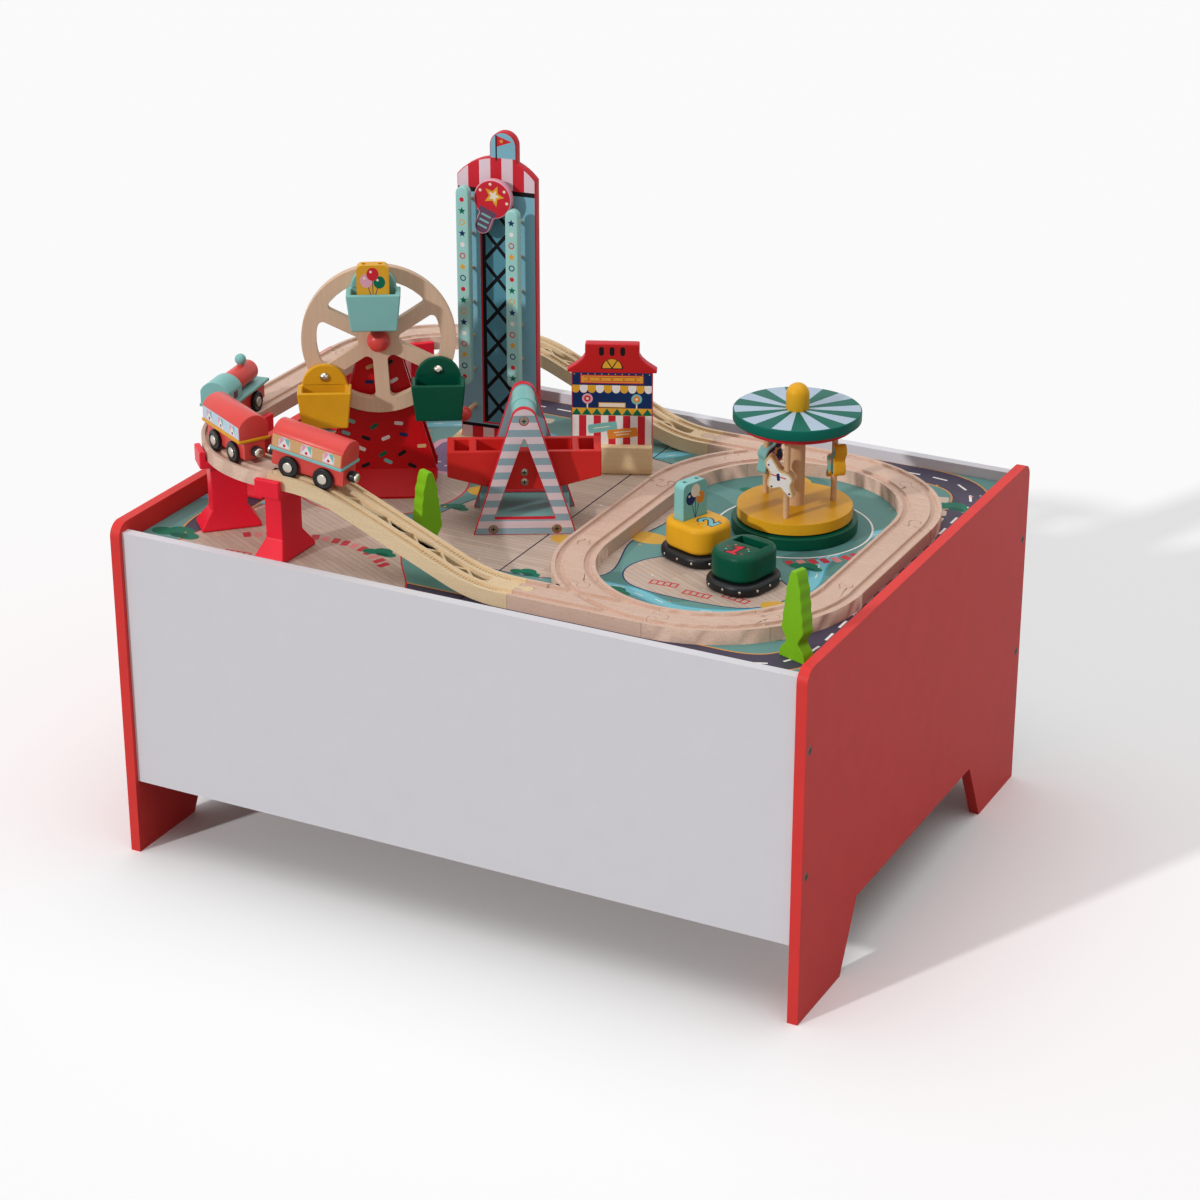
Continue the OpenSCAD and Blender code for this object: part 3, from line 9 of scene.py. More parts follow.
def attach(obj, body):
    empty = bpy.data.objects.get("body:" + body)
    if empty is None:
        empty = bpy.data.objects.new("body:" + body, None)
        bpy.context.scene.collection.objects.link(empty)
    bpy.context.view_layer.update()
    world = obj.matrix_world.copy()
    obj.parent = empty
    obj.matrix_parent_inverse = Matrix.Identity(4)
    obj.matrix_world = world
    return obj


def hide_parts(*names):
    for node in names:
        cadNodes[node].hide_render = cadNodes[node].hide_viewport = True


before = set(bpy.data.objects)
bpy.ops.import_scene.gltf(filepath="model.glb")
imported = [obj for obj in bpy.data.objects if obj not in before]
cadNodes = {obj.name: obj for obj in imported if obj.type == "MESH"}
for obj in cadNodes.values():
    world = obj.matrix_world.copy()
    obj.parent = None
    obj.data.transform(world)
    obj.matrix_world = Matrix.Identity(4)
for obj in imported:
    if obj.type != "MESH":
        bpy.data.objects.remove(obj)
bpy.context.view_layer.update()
mm = 0.001
boardTop = 283.0  # top of the printed board above the floor, in mm
print("frame loaded:", len(cadNodes), "nodes")

# Camera, floor and light

shot = {"lens": 93.03, "spot": (1.10707, -2.12119, 1.2640), "azimuth": 0.4744, "elevation": 0.4178}
light = {"sky": 0.36, "white": 1.0}
lamps = {"keyLight": (1.5, (-0.383, -0.821, 0.423), 2.5), "topLight": (1.25, (0.0, 0.0, 1.0), 70.0)}
paperFloor = {"half": 20.0, "seen": 1.0, "bounce": 0.34}


def addNode(tree, kind, inputs=None, **settings):
    # An input is a value, a socket, or a node that gives its first output
    made = tree.nodes.new("ShaderNode" + kind)
    for key, value in settings.items():
        setattr(made, key, value)
    for key, value in (inputs or {}).items():
        if isinstance(value, bpy.types.Node):
            value = value.outputs[0]
        if isinstance(value, bpy.types.NodeSocket):
            tree.links.new(value, made.inputs[key])
        else:
            made.inputs[key].default_value = value
    return made


def levels(value, to, source=(0, 1)):
    return {"Value": value, "From Min": source[0], "From Max": source[1], "To Min": to[0], "To Max": to[1]}


def hexColour(code):
    parts = [int(code[i:i + 2], 16) / 255 for i in (1, 3, 5)]
    return tuple(c / 12.92 if c <= 0.04045 else ((c + 0.055) / 1.055) ** 2.4 for c in parts) + (1.0,)


def buildStudio():
    cameraData = bpy.data.cameras.new("camera")
    cameraData.lens, cameraData.sensor_width = shot["lens"], 36.0
    cameraData.clip_start, cameraData.clip_end = 0.05, 100.0
    camera = bpy.data.objects.new("camera", cameraData)
    az, el = shot["azimuth"], shot["elevation"]
    back = Vector((math.sin(az) * math.cos(el), -math.cos(az) * math.cos(el), math.sin(el)))
    camera.location = shot["spot"]
    camera.rotation_euler = (-back).to_track_quat("-Z", "Y").to_euler()
    bpy.context.scene.collection.objects.link(camera)
    bpy.context.scene.camera = camera
    bpy.context.scene.view_settings.view_transform = "Standard"

    for name, (strength, source, spread) in lamps.items():
        lampData = bpy.data.lights.new(name, "SUN")
        lampData.energy = strength
        lampData.angle = math.radians(spread)
        lamp = bpy.data.objects.new(name, lampData)
        lamp.rotation_euler = Vector(source).to_track_quat("Z", "Y").to_euler()
        bpy.context.scene.collection.objects.link(lamp)

    world = bpy.data.worlds.new("studio")
    bpy.context.scene.world = world
    world.use_nodes = True
    tree = world.node_tree
    tree.nodes.clear()
    rays = addNode(tree, "LightPath")
    seen = rays.outputs["Is Camera Ray"]
    for other in ("Is Glossy Ray", "Is Transmission Ray"):
        seen = addNode(tree, "Math", {0: seen, 1: rays.outputs[other]}, operation="MAXIMUM")
    level = addNode(tree, "MapRange", levels(seen, (light["sky"], light["white"])))
    sky = addNode(tree, "Background", {"Color": (1, 1, 1, 1), "Strength": level})
    addNode(tree, "OutputWorld", {"Surface": sky})

    floorMesh = bpy.data.meshes.new("floor")
    half = paperFloor["half"]
    corners = [(-half, -half, 0), (half, -half, 0), (half, half, 0), (-half, half, 0)]
    floorMesh.from_pydata(corners, [], [(0, 1, 2, 3)])
    floor = bpy.data.objects.new("floor", floorMesh)
    bpy.context.scene.collection.objects.link(floor)
    # Matt white paper, dimmer in what it throws back than to the eye
    paper = bpy.data.materials.new("paperSweep")
    paper.use_nodes = True
    tree = paper.node_tree
    tree.nodes.clear()
    rays = addNode(tree, "LightPath")
    bounced = rays.outputs["Is Diffuse Ray"]
    tone = addNode(tree, "MapRange", levels(bounced, (paperFloor["seen"], paperFloor["bounce"])))
    matt = addNode(tree, "BsdfDiffuse", {"Color": tone})
    addNode(tree, "OutputMaterial", {"Surface": matt})
    floorMesh.materials.append(paper)


buildStudio()
print("studio ready")

# Finishes


def startFinish(name):
    finish = bpy.data.materials.new(name)
    finish.use_nodes = True
    tree = finish.node_tree
    tree.nodes.clear()
    return finish, tree, addNode(tree, "TexCoord").outputs["Object"]


def closeFinish(tree, inputs, shine=0.2):
    shader = addNode(tree, "BsdfPrincipled", {"Specular IOR Level": shine, **inputs})
    addNode(tree, "OutputMaterial", {"Surface": shader})


def stretched(tree, coords, sizeMm, turn=(0, 0, 0)):
    scale = tuple(1 / (s * mm) for s in sizeMm)  # one cycle per given size in mm
    turned = addNode(tree, "Mapping", {"Vector": coords, "Rotation": tuple(math.radians(t) for t in turn)})
    return addNode(tree, "Mapping", {"Vector": turned, "Scale": scale})


def pattern(tree, coords, detail, *sizes):
    return {"Vector": stretched(tree, coords, *sizes), "Scale": 1.0, "Detail": detail}


# Beech, planed and sanded: pale pink-tan with long soft fibre and short dark ray flecks
def beech(name, pale, dark, fleck, along="X", turn=0.0, rough=0.52):
    finish, tree, coords = startFinish(name)

    def run(length, width, detail):
        sizes = [length if axis == along else width for axis in "XYZ"]
        return pattern(tree, coords, detail, sizes, (0, 0, turn))

    tone = addNode(tree, "TexNoise", run(70, 10, 2.0))
    fibre = addNode(tree, "TexNoise", run(30, 1.1, 3.0))
    rays = addNode(tree, "TexNoise", run(2.8, 0.55, 0.0))
    mark = addNode(tree, "MapRange", levels(rays, (0.0, 0.38), (0.64, 0.76)))
    blend = addNode(tree, "Math", {0: tone, 1: 0.4, 2: fibre}, operation="MULTIPLY_ADD")
    share = addNode(tree, "MapRange", levels(blend, (0, 1), (0.26, 1.14)))
    wood = addNode(tree, "Mix", {0: share, 6: hexColour(pale), 7: hexColour(dark)}, data_type="RGBA")
    wood = addNode(tree, "Mix", {0: mark, 6: wood.outputs[2], 7: hexColour(fleck)}, data_type="RGBA")
    sheen = addNode(tree, "MapRange", levels(fibre, (rough - 0.08, rough + 0.12)))
    relief = addNode(tree, "Bump", {"Height": fibre, "Strength": 0.25, "Distance": 0.00012})
    closeFinish(tree, {"Base Color": wood.outputs[2], "Roughness": sheen, "Normal": relief, "IOR": 1.5})
    return finish


# Birch plywood: a pale quiet face, and thin dark glue lines on the cut edge across its thickness
def birchPly(name, pale, dark, glue, plyMm, faceTurn):
    finish, tree, coords = startFinish(name)
    fibre = addNode(tree, "TexNoise", pattern(tree, coords, 3.0, (2.0, 2.0, 45)))
    across = stretched(tree, coords, (plyMm, plyMm, plyMm), (0, 0, -faceTurn))
    depth = addNode(tree, "SeparateXYZ", {"Vector": across})
    layer = addNode(tree, "Math", {0: depth.outputs["Y"], 1: 1.0}, operation="PINGPONG")
    edge = addNode(tree, "NewGeometry")
    lean = (0, 0, -math.radians(faceTurn))
    turned = addNode(
        tree, "Mapping", {"Vector": edge.outputs["Normal"], "Rotation": lean}, vector_type="NORMAL"
    )
    facing = addNode(tree, "SeparateXYZ", {"Vector": turned})
    flat = addNode(tree, "Math", {0: facing.outputs["Y"]}, operation="ABSOLUTE")
    cut = addNode(tree, "MapRange", levels(flat, (0.55, 0.0), (0.2, 0.6)))
    line = addNode(tree, "MapRange", levels(layer, (1.0, 0.0), (0.10, 0.30)))
    seam = addNode(tree, "Math", {0: cut, 1: line}, operation="MULTIPLY")
    wood = addNode(tree, "Mix", {0: fibre, 6: hexColour(pale), 7: hexColour(dark)}, data_type="RGBA")
    wood = addNode(tree, "Mix", {0: seam, 6: wood.outputs[2], 7: hexColour(glue)}, data_type="RGBA")
    relief = addNode(tree, "Bump", {"Height": fibre, "Strength": 0.2, "Distance": 0.0001})
    closeFinish(tree, {"Base Color": wood.outputs[2], "Roughness": 0.55, "Normal": relief, "IOR": 1.5})
    return finish


# Satin paint sprayed on wood: even colour, a faint orange peel and a hint of the grain below
def sprayPaint(name, code, rough=0.36, peelMm=1.6, drift=0.05, shine=0.16):
    finish, tree, coords = startFinish(name)
    cloud = addNode(tree, "TexNoise", pattern(tree, coords, 3.0, (26, 26, 26)))
    peel = addNode(tree, "TexNoise", pattern(tree, coords, 1.0, (peelMm,) * 3))
    tone = addNode(tree, "MapRange", levels(cloud, (1 - drift, 1 + drift), (0.3, 0.7)))
    paint = addNode(tree, "HueSaturation", {"Color": hexColour(code), "Value": tone})
    sheen = addNode(tree, "MapRange", levels(peel, (rough - 0.05, rough + 0.07)))
    relief = addNode(tree, "Bump", {"Height": peel, "Strength": 0.10, "Distance": 0.0001})
    closeFinish(tree, {"Base Color": paint, "Roughness": sheen, "Normal": relief, "IOR": 1.47}, shine)
    return finish


# Ink printed on board under clear lacquer: flat colour with a fine screen mottle, drawn coarse enough to show
def printInk(name, code, rough=0.44, drift=0.06):
    finish, tree, coords = startFinish(name)
    screen = addNode(tree, "TexNoise", pattern(tree, coords, 2.0, (1.3, 1.3, 1.3)))
    cloud = addNode(tree, "TexNoise", pattern(tree, coords, 2.0, (34, 34, 34)))
    both = addNode(tree, "Math", {0: screen, 1: cloud}, operation="ADD")
    tone = addNode(tree, "MapRange", levels(both, (1 - drift, 1 + drift), (0.6, 1.4)))
    shade = addNode(tree, "HueSaturation", {"Color": hexColour(code), "Value": tone})
    sheen = addNode(tree, "MapRange", levels(screen, (rough - 0.06, rough + 0.06)))
    closeFinish(tree, {"Base Color": shade, "Roughness": sheen, "IOR": 1.47}, 0.12)
    return finish


# The same ink printed as deck planks: 5 mm boards with a thin darker joint and a grain streak
def plankInk(name, pale, dark, joint, turn):
    finish, tree, coords = startFinish(name)
    grid = stretched(tree, coords, (1, 1, 1), (0, 0, turn))
    planks = addNode(
        tree, "TexBrick",
        {
            "Vector": grid, "Color1": hexColour(pale), "Color2": hexColour(dark), "Mortar": hexColour(joint),
            "Scale": 1.0, "Mortar Size": 0.22, "Mortar Smooth": 0.3, "Bias": -0.2, "Brick Width": 62.0,
            "Row Height": 5.2,
        },
    )
    streak = addNode(tree, "TexNoise", pattern(tree, coords, 2.0, (16, 0.9, 5), (0, 0, turn)))
    tone = addNode(tree, "MapRange", levels(streak, (0.90, 1.06), (0.3, 0.7)))
    shade = addNode(tree, "HueSaturation", {"Color": planks, "Value": tone})
    closeFinish(tree, {"Base Color": shade, "Roughness": 0.44, "IOR": 1.47}, 0.12)
    return finish


# Moulded ABS: saturated colour, a soft gloss and the fine grain of the tool
def mouldedAbs(name, code, rough=0.32, grainMm=0.9, shine=0.25):
    finish, tree, coords = startFinish(name)
    grain = addNode(tree, "TexNoise", pattern(tree, coords, 2.0, (grainMm,) * 3))
    cloud = addNode(tree, "TexNoise", pattern(tree, coords, 2.0, (40, 40, 40)))
    tone = addNode(tree, "MapRange", levels(cloud, (0.95, 1.04), (0.3, 0.7)))
    plastic = addNode(tree, "HueSaturation", {"Color": hexColour(code), "Value": tone})
    sheen = addNode(tree, "MapRange", levels(grain, (rough - 0.06, rough + 0.08)))
    relief = addNode(tree, "Bump", {"Height": grain, "Strength": 0.08, "Distance": 0.0001})
    closeFinish(tree, {"Base Color": plastic, "Roughness": sheen, "Normal": relief, "IOR": 1.53}, shine)
    return finish


# Plated steel, barrel finished: bright with fine random scratches in the roughness
def platedSteel(name, code, rough):
    finish, tree, coords = startFinish(name)
    scuff = addNode(tree, "TexNoise", pattern(tree, coords, 3.0, (0.5, 4.0, 0.5)))
    tone = addNode(tree, "MapRange", levels(scuff, (0.85, 1.1)))
    metal = addNode(tree, "HueSaturation", {"Color": hexColour(code), "Value": tone})
    sheen = addNode(tree, "MapRange", levels(scuff, (rough - 0.08, rough + 0.12)))
    closeFinish(tree, {"Base Color": metal, "Metallic": 1.0, "Roughness": sheen}, 0.5)
    return finish


trackBeech = beech("sandedBeech", "#E2C4B2", "#C9A692", "#A37C68")
dowelBeech = beech("beechDowel", "#E3BF98", "#CBA073", "#A0734F", along="Z")
blockPine = beech("planedPine", "#F3DDB4", "#E6C795", "#CDA56E", along="X", turn=-24)
rampBeech = beech("creamBeech", "#EAD3B0", "#D9BC92", "#BC9A6E")
hiddenPine = beech("cleatPine", "#E0C79C", "#C9A877", "#A98455")
wheelPly = birchPly("birchPly", "#E6C7AA", "#D6B297", "#9A7456", 1.35, 30)
horsePly = birchPly("horsePly", "#E2C28E", "#D2AC74", "#8F6B4D", 1.35, 0)
whiteBoard = sprayPaint("whiteMelamine", "#DDDBE0", rough=0.42, peelMm=1.1, drift=0.012)
coralPaint = sprayPaint("coralLacquer", "#E0403D", rough=0.40, drift=0.03, shine=0.08)
redPaint = sprayPaint("redSatinPaint", "#D02B27")
trainRed = sprayPaint("trainRedPaint", "#E04B45", rough=0.30, shine=0.30)
tealPaint = sprayPaint("tealSatinPaint", "#86BFBB")
yellowPaint = sprayPaint("yellowSatinPaint", "#E3A621")
greenPaint = sprayPaint("greenSatinPaint", "#034D38")
limePaint = sprayPaint("limeSatinPaint", "#7CB81C", rough=0.42)
redAbs = mouldedAbs("redAbs", "#F2243A", rough=0.36, shine=0.16)
standAbs = mouldedAbs("standRedAbs", "#CC1119", rough=0.30, shine=0.12)
blackAbs = mouldedAbs("blackAbs", "#1B1B1D", rough=0.34)
bumperRubber = mouldedAbs("blackRubber", "#1A1B1D", rough=0.40, grainMm=0.6)
zinc = platedSteel("zincPlate", "#8F8678", 0.34)
darkZinc = platedSteel("darkZinc", "#4A423B", 0.42)
nickel = platedSteel("nickelPlate", "#C9C2B6", 0.26)
# Painted shade: a near-black finish for the thin sheets laid in the screws' cross slots, standing in for the
# shade inside them
slotShade = mouldedAbs("paintedSlotShade", "#15120F", rough=0.7)

inkCodes = {
    "ground": "#67948F", "groundDark": "#57847F", "stream": "#79BFCB", "streamDeep": "#4E9DB0",
    "road": "#4A4355", "kerb": "#DE9A4B", "dash": "#F1EDEA", "bush": "#1E7058", "bushDark": "#0F5644",
    "patch": "#D3A546", "stone": "#C2404C", "stonePink": "#D98A88", "ladder": "#C4444A", "cobble": "#D9C6B4",
    "navy": "#20305F", "carpet": "#7C6488", "carpetPink": "#D9A2B4", "black": "#17171B", "white": "#EFE9E6",
    "cream": "#F0E3CE", "towerBlue": "#84BBCC", "towerDeep": "#5A94A6", "red": "#CF2B38",
    "stripeWhite": "#E6CFD8", "teal": "#7CBDB8", "railTeal": "#A2D6D0", "green": "#0B6A4F",
    "yellow": "#E2A935", "orange": "#E08A35", "frameGrey": "#8DA4AE", "framePink": "#DCC6CC",
    "canopyGreen": "#0B6456", "canopyWhite": "#B2C4D6", "sky": "#C3DCEC", "tan": "#D9AE7C", "pink": "#E5A7B8",
    "boothRed": "#C32424", "boothNavy": "#16305E", "signGold": "#E0A63A", "plum": "#6B4A63",
}
ink = {key: printInk("ink." + key, code) for key, code in inkCodes.items()}
ink["plank"] = plankInk("ink.plank", "#CBB7A8", "#BEA898", "#A08A7B", 0)
ink["plankTurned"] = plankInk("ink.plankTurned", "#C9B4A5", "#BBA494", "#9F8878", 28)
print("finishes ready:", len(bpy.data.materials))

# Shapes: each is (points, faces, ink or finish number of each face), in mm


def along(a, b, share):
    return a + (b - a) * share


def flatPoints(points):
    return [Vector((p[0], p[1])) for p in points]


def counterClock(points):
    turn = sum(points[i - 1].x * p.y - p.x * points[i - 1].y for i, p in enumerate(points))
    return points if turn > 0 else list(reversed(points))


def mitres(loop):
    found = []
    for i, p in enumerate(loop):
        into, out = (p - loop[i - 1]).normalized(), (loop[(i + 1) % len(loop)] - p).normalized()
        left, right = Vector((into.y, -into.x)), Vector((out.y, -out.x))
        middle = left + right
        middle = middle.normalized() if middle.length > 1e-6 else left
        found.append(middle / max(middle.dot(left), 0.4))
    return found


def grown(loop, reach):
    return [p + m * reach for p, m in zip(loop, mitres(loop))]


def roundCorners(points, radius, steps=4):
    pts, out = flatPoints(points), []
    for i, p in enumerate(pts):
        r = radius[i] if isinstance(radius, (list, tuple)) else radius
        before, after = pts[i - 1] - p, pts[(i + 1) % len(pts)] - p
        half = before.angle(after, math.pi) / 2
        if r <= 0 or half > 1.5:
            out.append(p)
            continue
        cutBack = min(r / math.tan(half), 0.48 * before.length, 0.48 * after.length)
        a, b = p + before.normalized() * cutBack, p + after.normalized() * cutBack
        for k in range(steps + 1):
            t = k / steps
            out.append(along(along(a, p, t), along(p, b, t), t))
    return out


def polar(cx, cy, rx, ry, degrees):
    t = math.radians(degrees)
    return Vector((cx + rx * math.cos(t), cy + ry * math.sin(t)))


def ring(cx, cy, rx, ry=None, count=32, start=0.0, sweep=360.0):
    ry = rx if ry is None else ry
    last = count if sweep >= 360 else count + 1
    return [polar(cx, cy, rx, ry, start + sweep * i / count) for i in range(last)]


def bar(cx, cy, w, h, turn=0.0, radius=0.0):
    corners = [(-w / 2, -h / 2), (w / 2, -h / 2), (w / 2, h / 2), (-w / 2, h / 2)]
    pts = roundCorners(corners, radius, 3) if radius else flatPoints(corners)
    c, s = math.cos(math.radians(turn)), math.sin(math.radians(turn))
    return [Vector((cx + p.x * c - p.y * s, cy + p.x * s + p.y * c)) for p in pts]


def star(cx, cy, r, inner=0.45, points=5):
    reach = (r, r * inner)
    return [polar(cx, cy, reach[k % 2], reach[k % 2], 90 + 180 * k / points) for k in range(2 * points)]


def smoothLine(points, steps=8, closed=False):
    pts, out = flatPoints(points), []
    count = len(pts)
    for i in range(count if closed else count - 1):
        if closed:
            a, b, c, d = pts[i - 1], pts[i], pts[(i + 1) % count], pts[(i + 2) % count]
        else:
            a, b, c, d = pts[max(i - 1, 0)], pts[i], pts[i + 1], pts[min(i + 2, count - 1)]
        for k in range(steps):
            t = k / steps
            q = 2 * b + (c - a) * t + (2 * a - 5 * b + 4 * c - d) * t * t
            out.append(0.5 * (q + (3 * b - a - 3 * c + d) * t ** 3))
    if not closed:
        out.append(pts[-1])
    return out


def ribbon(line, width):
    left, right = [], []
    for i, p in enumerate(line):
        run = (line[min(i + 1, len(line) - 1)] - line[max(i - 1, 0)]).normalized()
        side = Vector((-run.y, run.x)) * width / 2
        left.append(p + side)
        right.append(p - side)
    return left + right[::-1]


def marks(line, pitch):
    # Points at an even pitch along a line, each with its heading in degrees
    found, due, passed = [], pitch / 2, 0.0
    for a, b in zip(line, line[1:]):
        run = (b - a).length
        while run > 0 and due <= passed + run:
            at = along(a, b, (due - passed) / run)
            found.append((at.x, at.y, math.degrees(math.atan2(b.y - a.y, b.x - a.x))))
            due += pitch
        passed += run
    return found


def capsule(cx, low, high, w):
    r = w / 2
    top = ring(cx, high - r, r, count=10, sweep=180)
    return top + ring(cx, low + r, r, count=10, start=180, sweep=180)


def inkSet(*names):
    return [ink[n] for n in names]


def plateShape(
    outline, depth, bevel=0.8, layers=(), holes=(), ground=0, rim=1, back="same", steps=3, holeBevel=0.4
):
    # Front print at height 0 facing +Z, body below it; an ink is a name, or a place in the piece's finishes
    outer = counterClock(flatPoints(outline))
    cap = grown(outer, -bevel)
    gaps = [grown(counterClock(flatPoints(h)), holeBevel) for h in holes]
    loops = [cap] + gaps + [counterClock(flatPoints(l[0])) for l in layers]
    pts, faces = [], []
    for loop in loops:
        faces.append(list(range(len(pts), len(pts) + len(loop))))
        pts += loop
    flat, _, tris, _, _, owners = delaunay_2d_cdt(pts, [], faces, 1, 1e-4)
    kept, inks = [], []
    for tri, owner in zip(tris, owners):
        if 0 not in owner or any(1 <= o <= len(gaps) for o in owner):
            continue
        a, b, c = (flat[i] for i in tri)
        if (b - a).cross(c - a) < 0:
            tri = [tri[0], tri[2], tri[1]]
        top = max(owner)
        kept.append(list(tri))
        inks.append(layers[top - 1 - len(gaps)][1] if top > len(gaps) else ground)
    used = {i: k for k, i in enumerate(sorted({i for tri in kept for i in tri}))}
    flat = [flat[i] for i in sorted(used)]
    kept = [[used[i] for i in tri] for tri in kept]
    sides = {(tri[i], tri[(i + 1) % 3]) for tri in kept for i in range(3)}
    nextOf = {a: b for a, b in sides if (b, a) not in sides}
    points = [(p.x, p.y, 0.0) for p in flat]
    outFaces, outInks = [list(t) for t in kept], list(inks)
    count = len(flat)
    points += [(p.x, p.y, -depth) for p in flat]
    outFaces += [[i + count for i in reversed(t)] for t in kept]
    outInks += inks if back == "same" else [back] * len(kept)
    todo = dict(nextOf)
    while todo:
        first = next(iter(todo))
        loop = [first]
        while todo[loop[-1]] != first:
            loop.append(todo.pop(loop[-1]))
        todo.pop(loop[-1])
        rim2d = [flat[i] for i in loop]
        push = mitres(rim2d)
        rows = [loop]
        isOuter = sum(rim2d[k - 1].cross(q) for k, q in enumerate(rim2d)) > 0
        soft = bevel if isOuter else holeBevel
        bends = [math.pi / 2 * k / steps for k in range(1, steps + 1)] if soft else []
        heights = [(soft * math.sin(b), -soft * (1 - math.cos(b))) for b in bends]
        heights += [(o, -depth - z) for o, z in reversed(heights)]
        for reach, z in heights:
            rows.append(list(range(len(points), len(points) + len(loop))))
            points += [(p.x + m.x * reach, p.y + m.y * reach, z) for p, m in zip(rim2d, push)]
        rows.append([i + count for i in loop])
        for upper, lower in zip(rows, rows[1:]):
            for k in range(len(loop)):
                n = (k + 1) % len(loop)
                outFaces.append([upper[n], upper[k], lower[k], lower[n]])
                outInks.append(rim)
    return points, outFaces, outInks


def latheShape(profile, number=0, turns=40):
    # profile runs from the bottom up as (radius, height)
    points, rows, faces = [], [], []
    for r, z in profile:
        if r < 1e-6:
            rows.append([len(points)] * turns)
            points.append((0.0, 0.0, z))
        else:
            rows.append(list(range(len(points), len(points) + turns)))
            bends = [math.tau * k / turns for k in range(turns)]
            points += [(r * math.cos(b), r * math.sin(b), z) for b in bends]
    for low, high in zip(rows, rows[1:]):
        for k in range(turns):
            n = (k + 1) % turns
            face = [low[k], low[n], high[n], high[k]]
            faces.append([v for j, v in enumerate(face) if v != face[j - 1]])
    return points, faces, [number] * len(faces)


def rodProfile(r, low, high):
    return [(0, low), (r, low), (r, high), (0, high)]


def ballProfile(r, steps):
    bends = [math.pi * k / steps for k in range(steps + 1)]
    return [(r * math.sin(b), -r * math.cos(b)) for b in bends]


def softProfile(profile, radius, steps=3):
    # Rounds the inner corners of a lathe profile and keeps its two ends
    pts, out = flatPoints(profile), [tuple(profile[0])]
    for i in range(1, len(pts) - 1):
        p, before, after = pts[i], pts[i - 1] - pts[i], pts[i + 1] - pts[i]
        cutBack = min(radius, 0.45 * before.length, 0.45 * after.length)
        a, b = p + before.normalized() * cutBack, p + after.normalized() * cutBack
        for k in range(steps + 1):
            t = k / steps
            q = along(along(a, p, t), along(p, b, t), t)
            out.append((q.x, q.y))
    out.append(tuple(profile[-1]))
    return out


def moved(shape, matrix, inkShift=0):
    points, faces, inks = shape
    if inkShift:
        inks = [i + inkShift for i in inks]
    return [tuple(matrix @ Vector(p)) for p in points], faces, inks


def shift(x=0.0, y=0.0, z=0.0):
    return Matrix.Translation((x, y, z))


def spin(degrees, axis="Z"):
    return Matrix.Rotation(math.radians(degrees), 4, axis)


def spot(x, y, z, yaw=0.0):
    return shift(x, y, z) @ spin(yaw)


upright = spin(90, "X")  # a plate's front faces -Y and its own Y points up
sideways = Matrix(((0, 0, 1, 0), (1, 0, 0, 0), (0, 1, 0, 0), (0, 0, 0, 1)))  # its front faces +X
inPlace = Matrix.Identity(4)
bothWays = (inPlace, spin(180))
sharpFrom = 38.0  # degrees between faces from which an edge shades sharp
roundFrom = 32.0  # and from which a solid's edge is rounded
film = 0.2  # thickness of a printed layer that lies on a solid, in mm


def addPiece(name, shapes, finishes, place, body, stands=()):
    points, faces, inks = [], [], []
    for shape in shapes:
        base = len(points)
        points += shape[0]
        faces += [[i + base for i in f] for f in shape[1]]
        inks += shape[2]
    mesh = bpy.data.meshes.new(name)
    mesh.from_pydata(points, [], faces)
    for finish in finishes:
        mesh.materials.append(finish)
    order = {key: finishes.index(shade) for key, shade in ink.items() if shade in finishes}
    mesh.polygons.foreach_set("material_index", [order.get(i, i) for i in inks])
    mesh.transform(Matrix.Scale(mm, 4) @ place)
    mesh.polygons.foreach_set("use_smooth", [True] * len(faces))
    mesh.set_sharp_from_angle(angle=math.radians(sharpFrom))
    mesh.update()
    piece = bpy.data.objects.new(name, mesh)
    bpy.context.scene.collection.objects.link(piece)
    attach(piece, body)
    if stands:
        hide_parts(*stands)


def dress(name, finish, edge=0.6, steps=2, clamp=True):
    # Gives a CAD solid its finish and a small round on its edges
    solid = cadNodes[name]
    for holder in solid.material_slots:
        holder.material = finish
    weld = solid.modifiers.new("weld", "WELD")
    weld.merge_threshold = 1e-5
    if edge:
        flat = solid.modifiers.new("flat", "DECIMATE")
        flat.decimate_type, flat.angle_limit = "DISSOLVE", math.radians(0.6)
        soft = solid.modifiers.new("edge", "BEVEL")
        soft.width, soft.segments, soft.limit_method = edge * mm, steps, "ANGLE"
        soft.angle_limit, soft.use_clamp_overlap = math.radians(roundFrom), clamp
    normals = solid.modifiers.new("shade", "WEIGHTED_NORMAL")
    normals.keep_sharp = False


# Table
for name in ("front_panel", "back_panel"):
    dress(name, whiteBoard, 0.7)
for name in ("left_end_panel", "right_end_panel"):
    dress(name, coralPaint, 1.4, 3)
dress("board_cleats", hiddenPine, 0.6)
dress("wood_screws", zinc, 0.3)

# Track
for name in ("track_switches", "track_curves", "track_straights"):
    dress(name, trackBeech, 0.7)
dress("ramp_tracks", rampBeech, 0.6)
dress("bridge_piers", redAbs, 1.2, 3)

# Fairground pieces whose solid is right as it is
for name, finish, edge in (
    ("ferris_stand", standAbs, 0.8), ("ferris_axle", trainRed, 0.0), ("ferris_wheel", wheelPly, 0.8),
    ("gondola_pins", nickel, 1.0),
    ("gondola_rider", yellowPaint, 0.9), ("car_rider", tealPaint, 0.9),
    ("stand_blocks", blockPine, 0.8), ("ship_base", tealPaint, 0.8), ("ship_axle", dowelBeech, 0.0),
    ("ship_hanger", tealPaint, 0.9), ("ship_hull", redPaint, 1.1), ("carousel_base", greenPaint, 1.2),
    ("carousel_turntable", yellowPaint, 1.2), ("carousel_poles", dowelBeech, 0.0),
    ("trees", limePaint, 0.8),
    ("engine_chassis", trainRed, 0.8), ("engine_cab", tealPaint, 0.7),
):
    dress(name, finish, edge, 3)
for name, finish in (
    ("gondola_teal", tealPaint), ("gondola_yellow", yellowPaint), ("gondola_green", greenPaint)
):
    dress(name, finish, 1.3, 4, clamp=False)
print("solids dressed")

